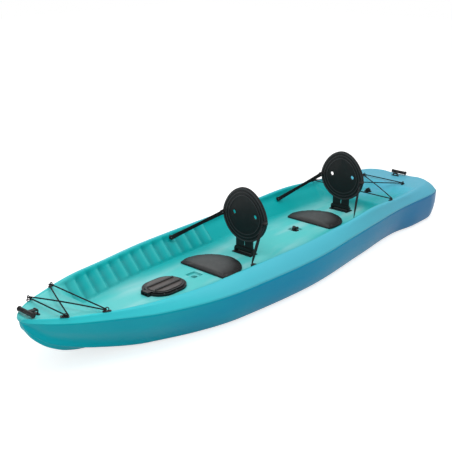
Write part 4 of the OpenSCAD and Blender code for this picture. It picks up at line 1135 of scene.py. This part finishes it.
class KAYAK_OT_straps(Operator):
    """Four flat straps from the seat backs to the side walls"""

    bl_idname = "kayak.straps"
    bl_label = "Straps"
    LENGTHS = 40
    WIDTHS = 6
    # Angle by which the slack webbing turns half-way along, and power of the turn's growth
    TWIST = math.radians(34)
    TWIST_POWER = 0.7
    # Way that the port strap's flat side looks
    LOOK = Vector((0.604, -0.777, 0.184))
    # Share of the upper of two rows of the wall at the lower ends, at the rear and at the front seat
    REAR_ROW, FRONT_ROW = 0.5, 0.8

    def execute(self, context):
        s = context.scene.kayak_sizes
        for seat, hinge in seats(s):
            for side, word in ((1, "port"), (-1, "starboard")):
                low, high = self.ends(s, hinge, side)
                obj = self.strap(s, low, high, side, f"{seat}_{word}_webbing")
                obj.data.materials.append(finish("Webbing"))
                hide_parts(f"{seat}_{word}_strap")
                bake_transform(obj)
        return {"FINISHED"}

    def ends(self, s, hinge, side):
        """Lower end on the wall and upper end on the seat back."""
        lines = Lines(s)
        x = hinge + s.strap_reach
        ribbed = s.rib_x0 < x < s.rib_x0 + s.rib_count * s.rib_pitch
        rows = lines.deck_rows(np.array([x]), np.array([s.rib_d if ribbed else 0.0]))[0]
        upper = self.REAR_ROW if x < s.rear_floor_front else self.FRONT_ROW
        y, z = upper * rows[5] + (1 - upper) * rows[6]
        low = Vector((x, side * (y - s.stand_off), z + s.stand_off))
        high = Vector((hinge + s.back_t / 2 + s.ear_out, side * (s.back_w / 2 - s.ear_in),
                       lines.floor_at(hinge) + s.hinge_h + s.strap_rise))
        return low, high

    def strap(self, s, low, high, side, name):
        ex = (low - high).normalized()
        ey = (self.LOOK * Vector((1, side, 1))).cross(ex).normalized()
        ez = ex.cross(ey)
        span = (low - high).length
        r = s.strap_w / 2
        bm = bmesh.new()
        bmesh.ops.create_grid(bm, x_segments=self.LENGTHS, y_segments=self.WIDTHS, size=1.0)
        layer = bm.loops.layers.uv.new("Map")
        for v in bm.verts:
            u, w = (v.co.x + 1) / 2, v.co.y
            end = r * math.sqrt(max(0.0, 1 - w * w))
            v.co = (-end + (span + 2 * end) * u, w * r, 0)
        for f in bm.faces:
            for loop in f.loops:
                loop[layer].uv = loop.vert.co.xy
        for v in bm.verts:
            swing = math.sin(math.pi * min(1.0, max(0.0, v.co.x / span)))
            turn = self.TWIST * side * swing ** self.TWIST_POWER
            across, out = v.co.y * math.cos(turn), v.co.y * math.sin(turn)
            v.co = high + ex * v.co.x + ey * across + ez * (s.strap_t / 2 + out)
        turned_towards(bm, ez)
        obj = shown(mesh_from(bm, name), name, SOFT_ANGLE)
        thickened(obj, "Thickness", s.strap_t)
        return obj


class KAYAK_OT_fittings(Operator):
    """Hatch, brackets, eyes, handles, plugs and screws"""

    bl_idname = "kayak.fittings"
    bl_label = "Fittings"
    # Solid, body and width of its rounded edges
    BLACK = (("hatch_rim", "boat", 0.0016), ("front_seat_bracket", "boat", 0.001),
             ("rear_seat_bracket", "boat", 0.001), ("bow_pad_eyes", "boat", 0.0008),
             ("stern_pad_eyes", "boat", 0.0008), ("bow_handle_anchor", "boat", 0.0008),
             ("stern_handle_anchor", "boat", 0.0008), ("bow_handle_grip", "bow_handle", 0.002),
             ("stern_handle_grip", "stern_handle", 0.002), ("drain_bush", "boat", 0.0008),
             ("drain_plug", "drain", 0.001), ("strap_posts", "boat", 0.001))
    LID_ROUND, PLUG_ROUND, TUBE_ROUND, WEB_ROUND = 0.0018, 0.0016, 0.0012, 0.0006
    # Height of the lid's two ridges over its panel, and how far from the panel's level the lid turns black
    RIDGE_H = 0.006
    PANEL_REACH = 0.0012
    # Height above which a scupper tube has the cockpit's plastic
    TUBE_INSIDE = 0.05
    RUBBER = ("hatch_gasket", "drain_seal")
    STEEL = ("hatch_hinge_pin", "hatch_rim_screws", "front_seat_pin", "rear_seat_pin", "seat_bracket_screws",
             "strap_anchor_screws", "front_back_screws", "rear_back_screws", "pad_eye_screws",
             "handle_anchor_screws")

    def execute(self, context):
        rubber = finish("Plug rubber")
        for node, body, width in self.BLACK:
            obj = softened(node, node + "_part", width)
            dressed(obj, finish("Black plastic"), body, node)
        lid = softened("hatch_lid", "hatch_lid_part", self.LID_ROUND, 3)
        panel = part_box("hatch_lid")[1][2] - self.RIDGE_H
        mark(lid.data, "marked", lambda co: float(abs(co.z - panel) > self.PANEL_REACH))
        dressed(lid, finish("Lid plastic"), "hatch", "hatch_lid")
        plug = softened("scupper_plug", "scupper_plug_part", self.PLUG_ROUND, 3)
        dressed(plug, rubber, "plug", "scupper_plug")
        for seat in ("front", "rear"):
            obj = softened(seat + "_scupper_tube", seat + "_scupper_part", self.TUBE_ROUND)
            mark(obj.data, "inside", lambda co: float(co.z > self.TUBE_INSIDE))
            dressed(obj, boat_plastic("Deck plastic"), "boat", seat + "_scupper_tube")
        for end in ("bow", "stern"):
            obj = softened(end + "_handle_strap", end + "_handle_web", self.WEB_ROUND)
            dressed(obj, rubber, end + "_handle", end + "_handle_strap")
        for names, material in ((self.RUBBER, rubber), (self.STEEL, finish("Stainless steel"))):
            for name in names:
                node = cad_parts[name]
                node.data.materials.clear()
                node.data.materials.append(material)
        return {"FINISHED"}


class KAYAK_PT_panel(Panel):
    """Lists the kayak's sizes, colours and pieces"""

    bl_idname = "KAYAK_PT_panel"
    bl_label = "Kayak"
    bl_space_type = "VIEW_3D"
    bl_region_type = "UI"
    bl_category = "Kayak"

    def draw(self, context):
        for op in OPERATORS:
            self.layout.operator(op.bl_idname)
        for group in (context.scene.kayak_sizes, context.scene.kayak_colours):
            box = self.layout.box()
            for name in group.__annotations__:
                box.prop(group, name)


OPERATORS = (KAYAK_OT_stage, KAYAK_OT_bungees, KAYAK_OT_deck, KAYAK_OT_hull, KAYAK_OT_pads,
             KAYAK_OT_seat_backs, KAYAK_OT_straps, KAYAK_OT_fittings)
CLASSES = (KayakSizes, KayakColours, *OPERATORS, KAYAK_PT_panel)


def register():
    for c in CLASSES:
        bpy.utils.register_class(c)
    bpy.types.Scene.kayak_sizes = PointerProperty(type=KayakSizes)
    bpy.types.Scene.kayak_colours = PointerProperty(type=KayakColours)


def unregister():
    del bpy.types.Scene.kayak_colours
    del bpy.types.Scene.kayak_sizes
    for c in reversed(CLASSES):
        bpy.utils.unregister_class(c)


def main():
    register()
    for op in OPERATORS:
        area, name = op.bl_idname.split(".")
        getattr(getattr(bpy.ops, area), name)()


if __name__ == "__main__":
    main()
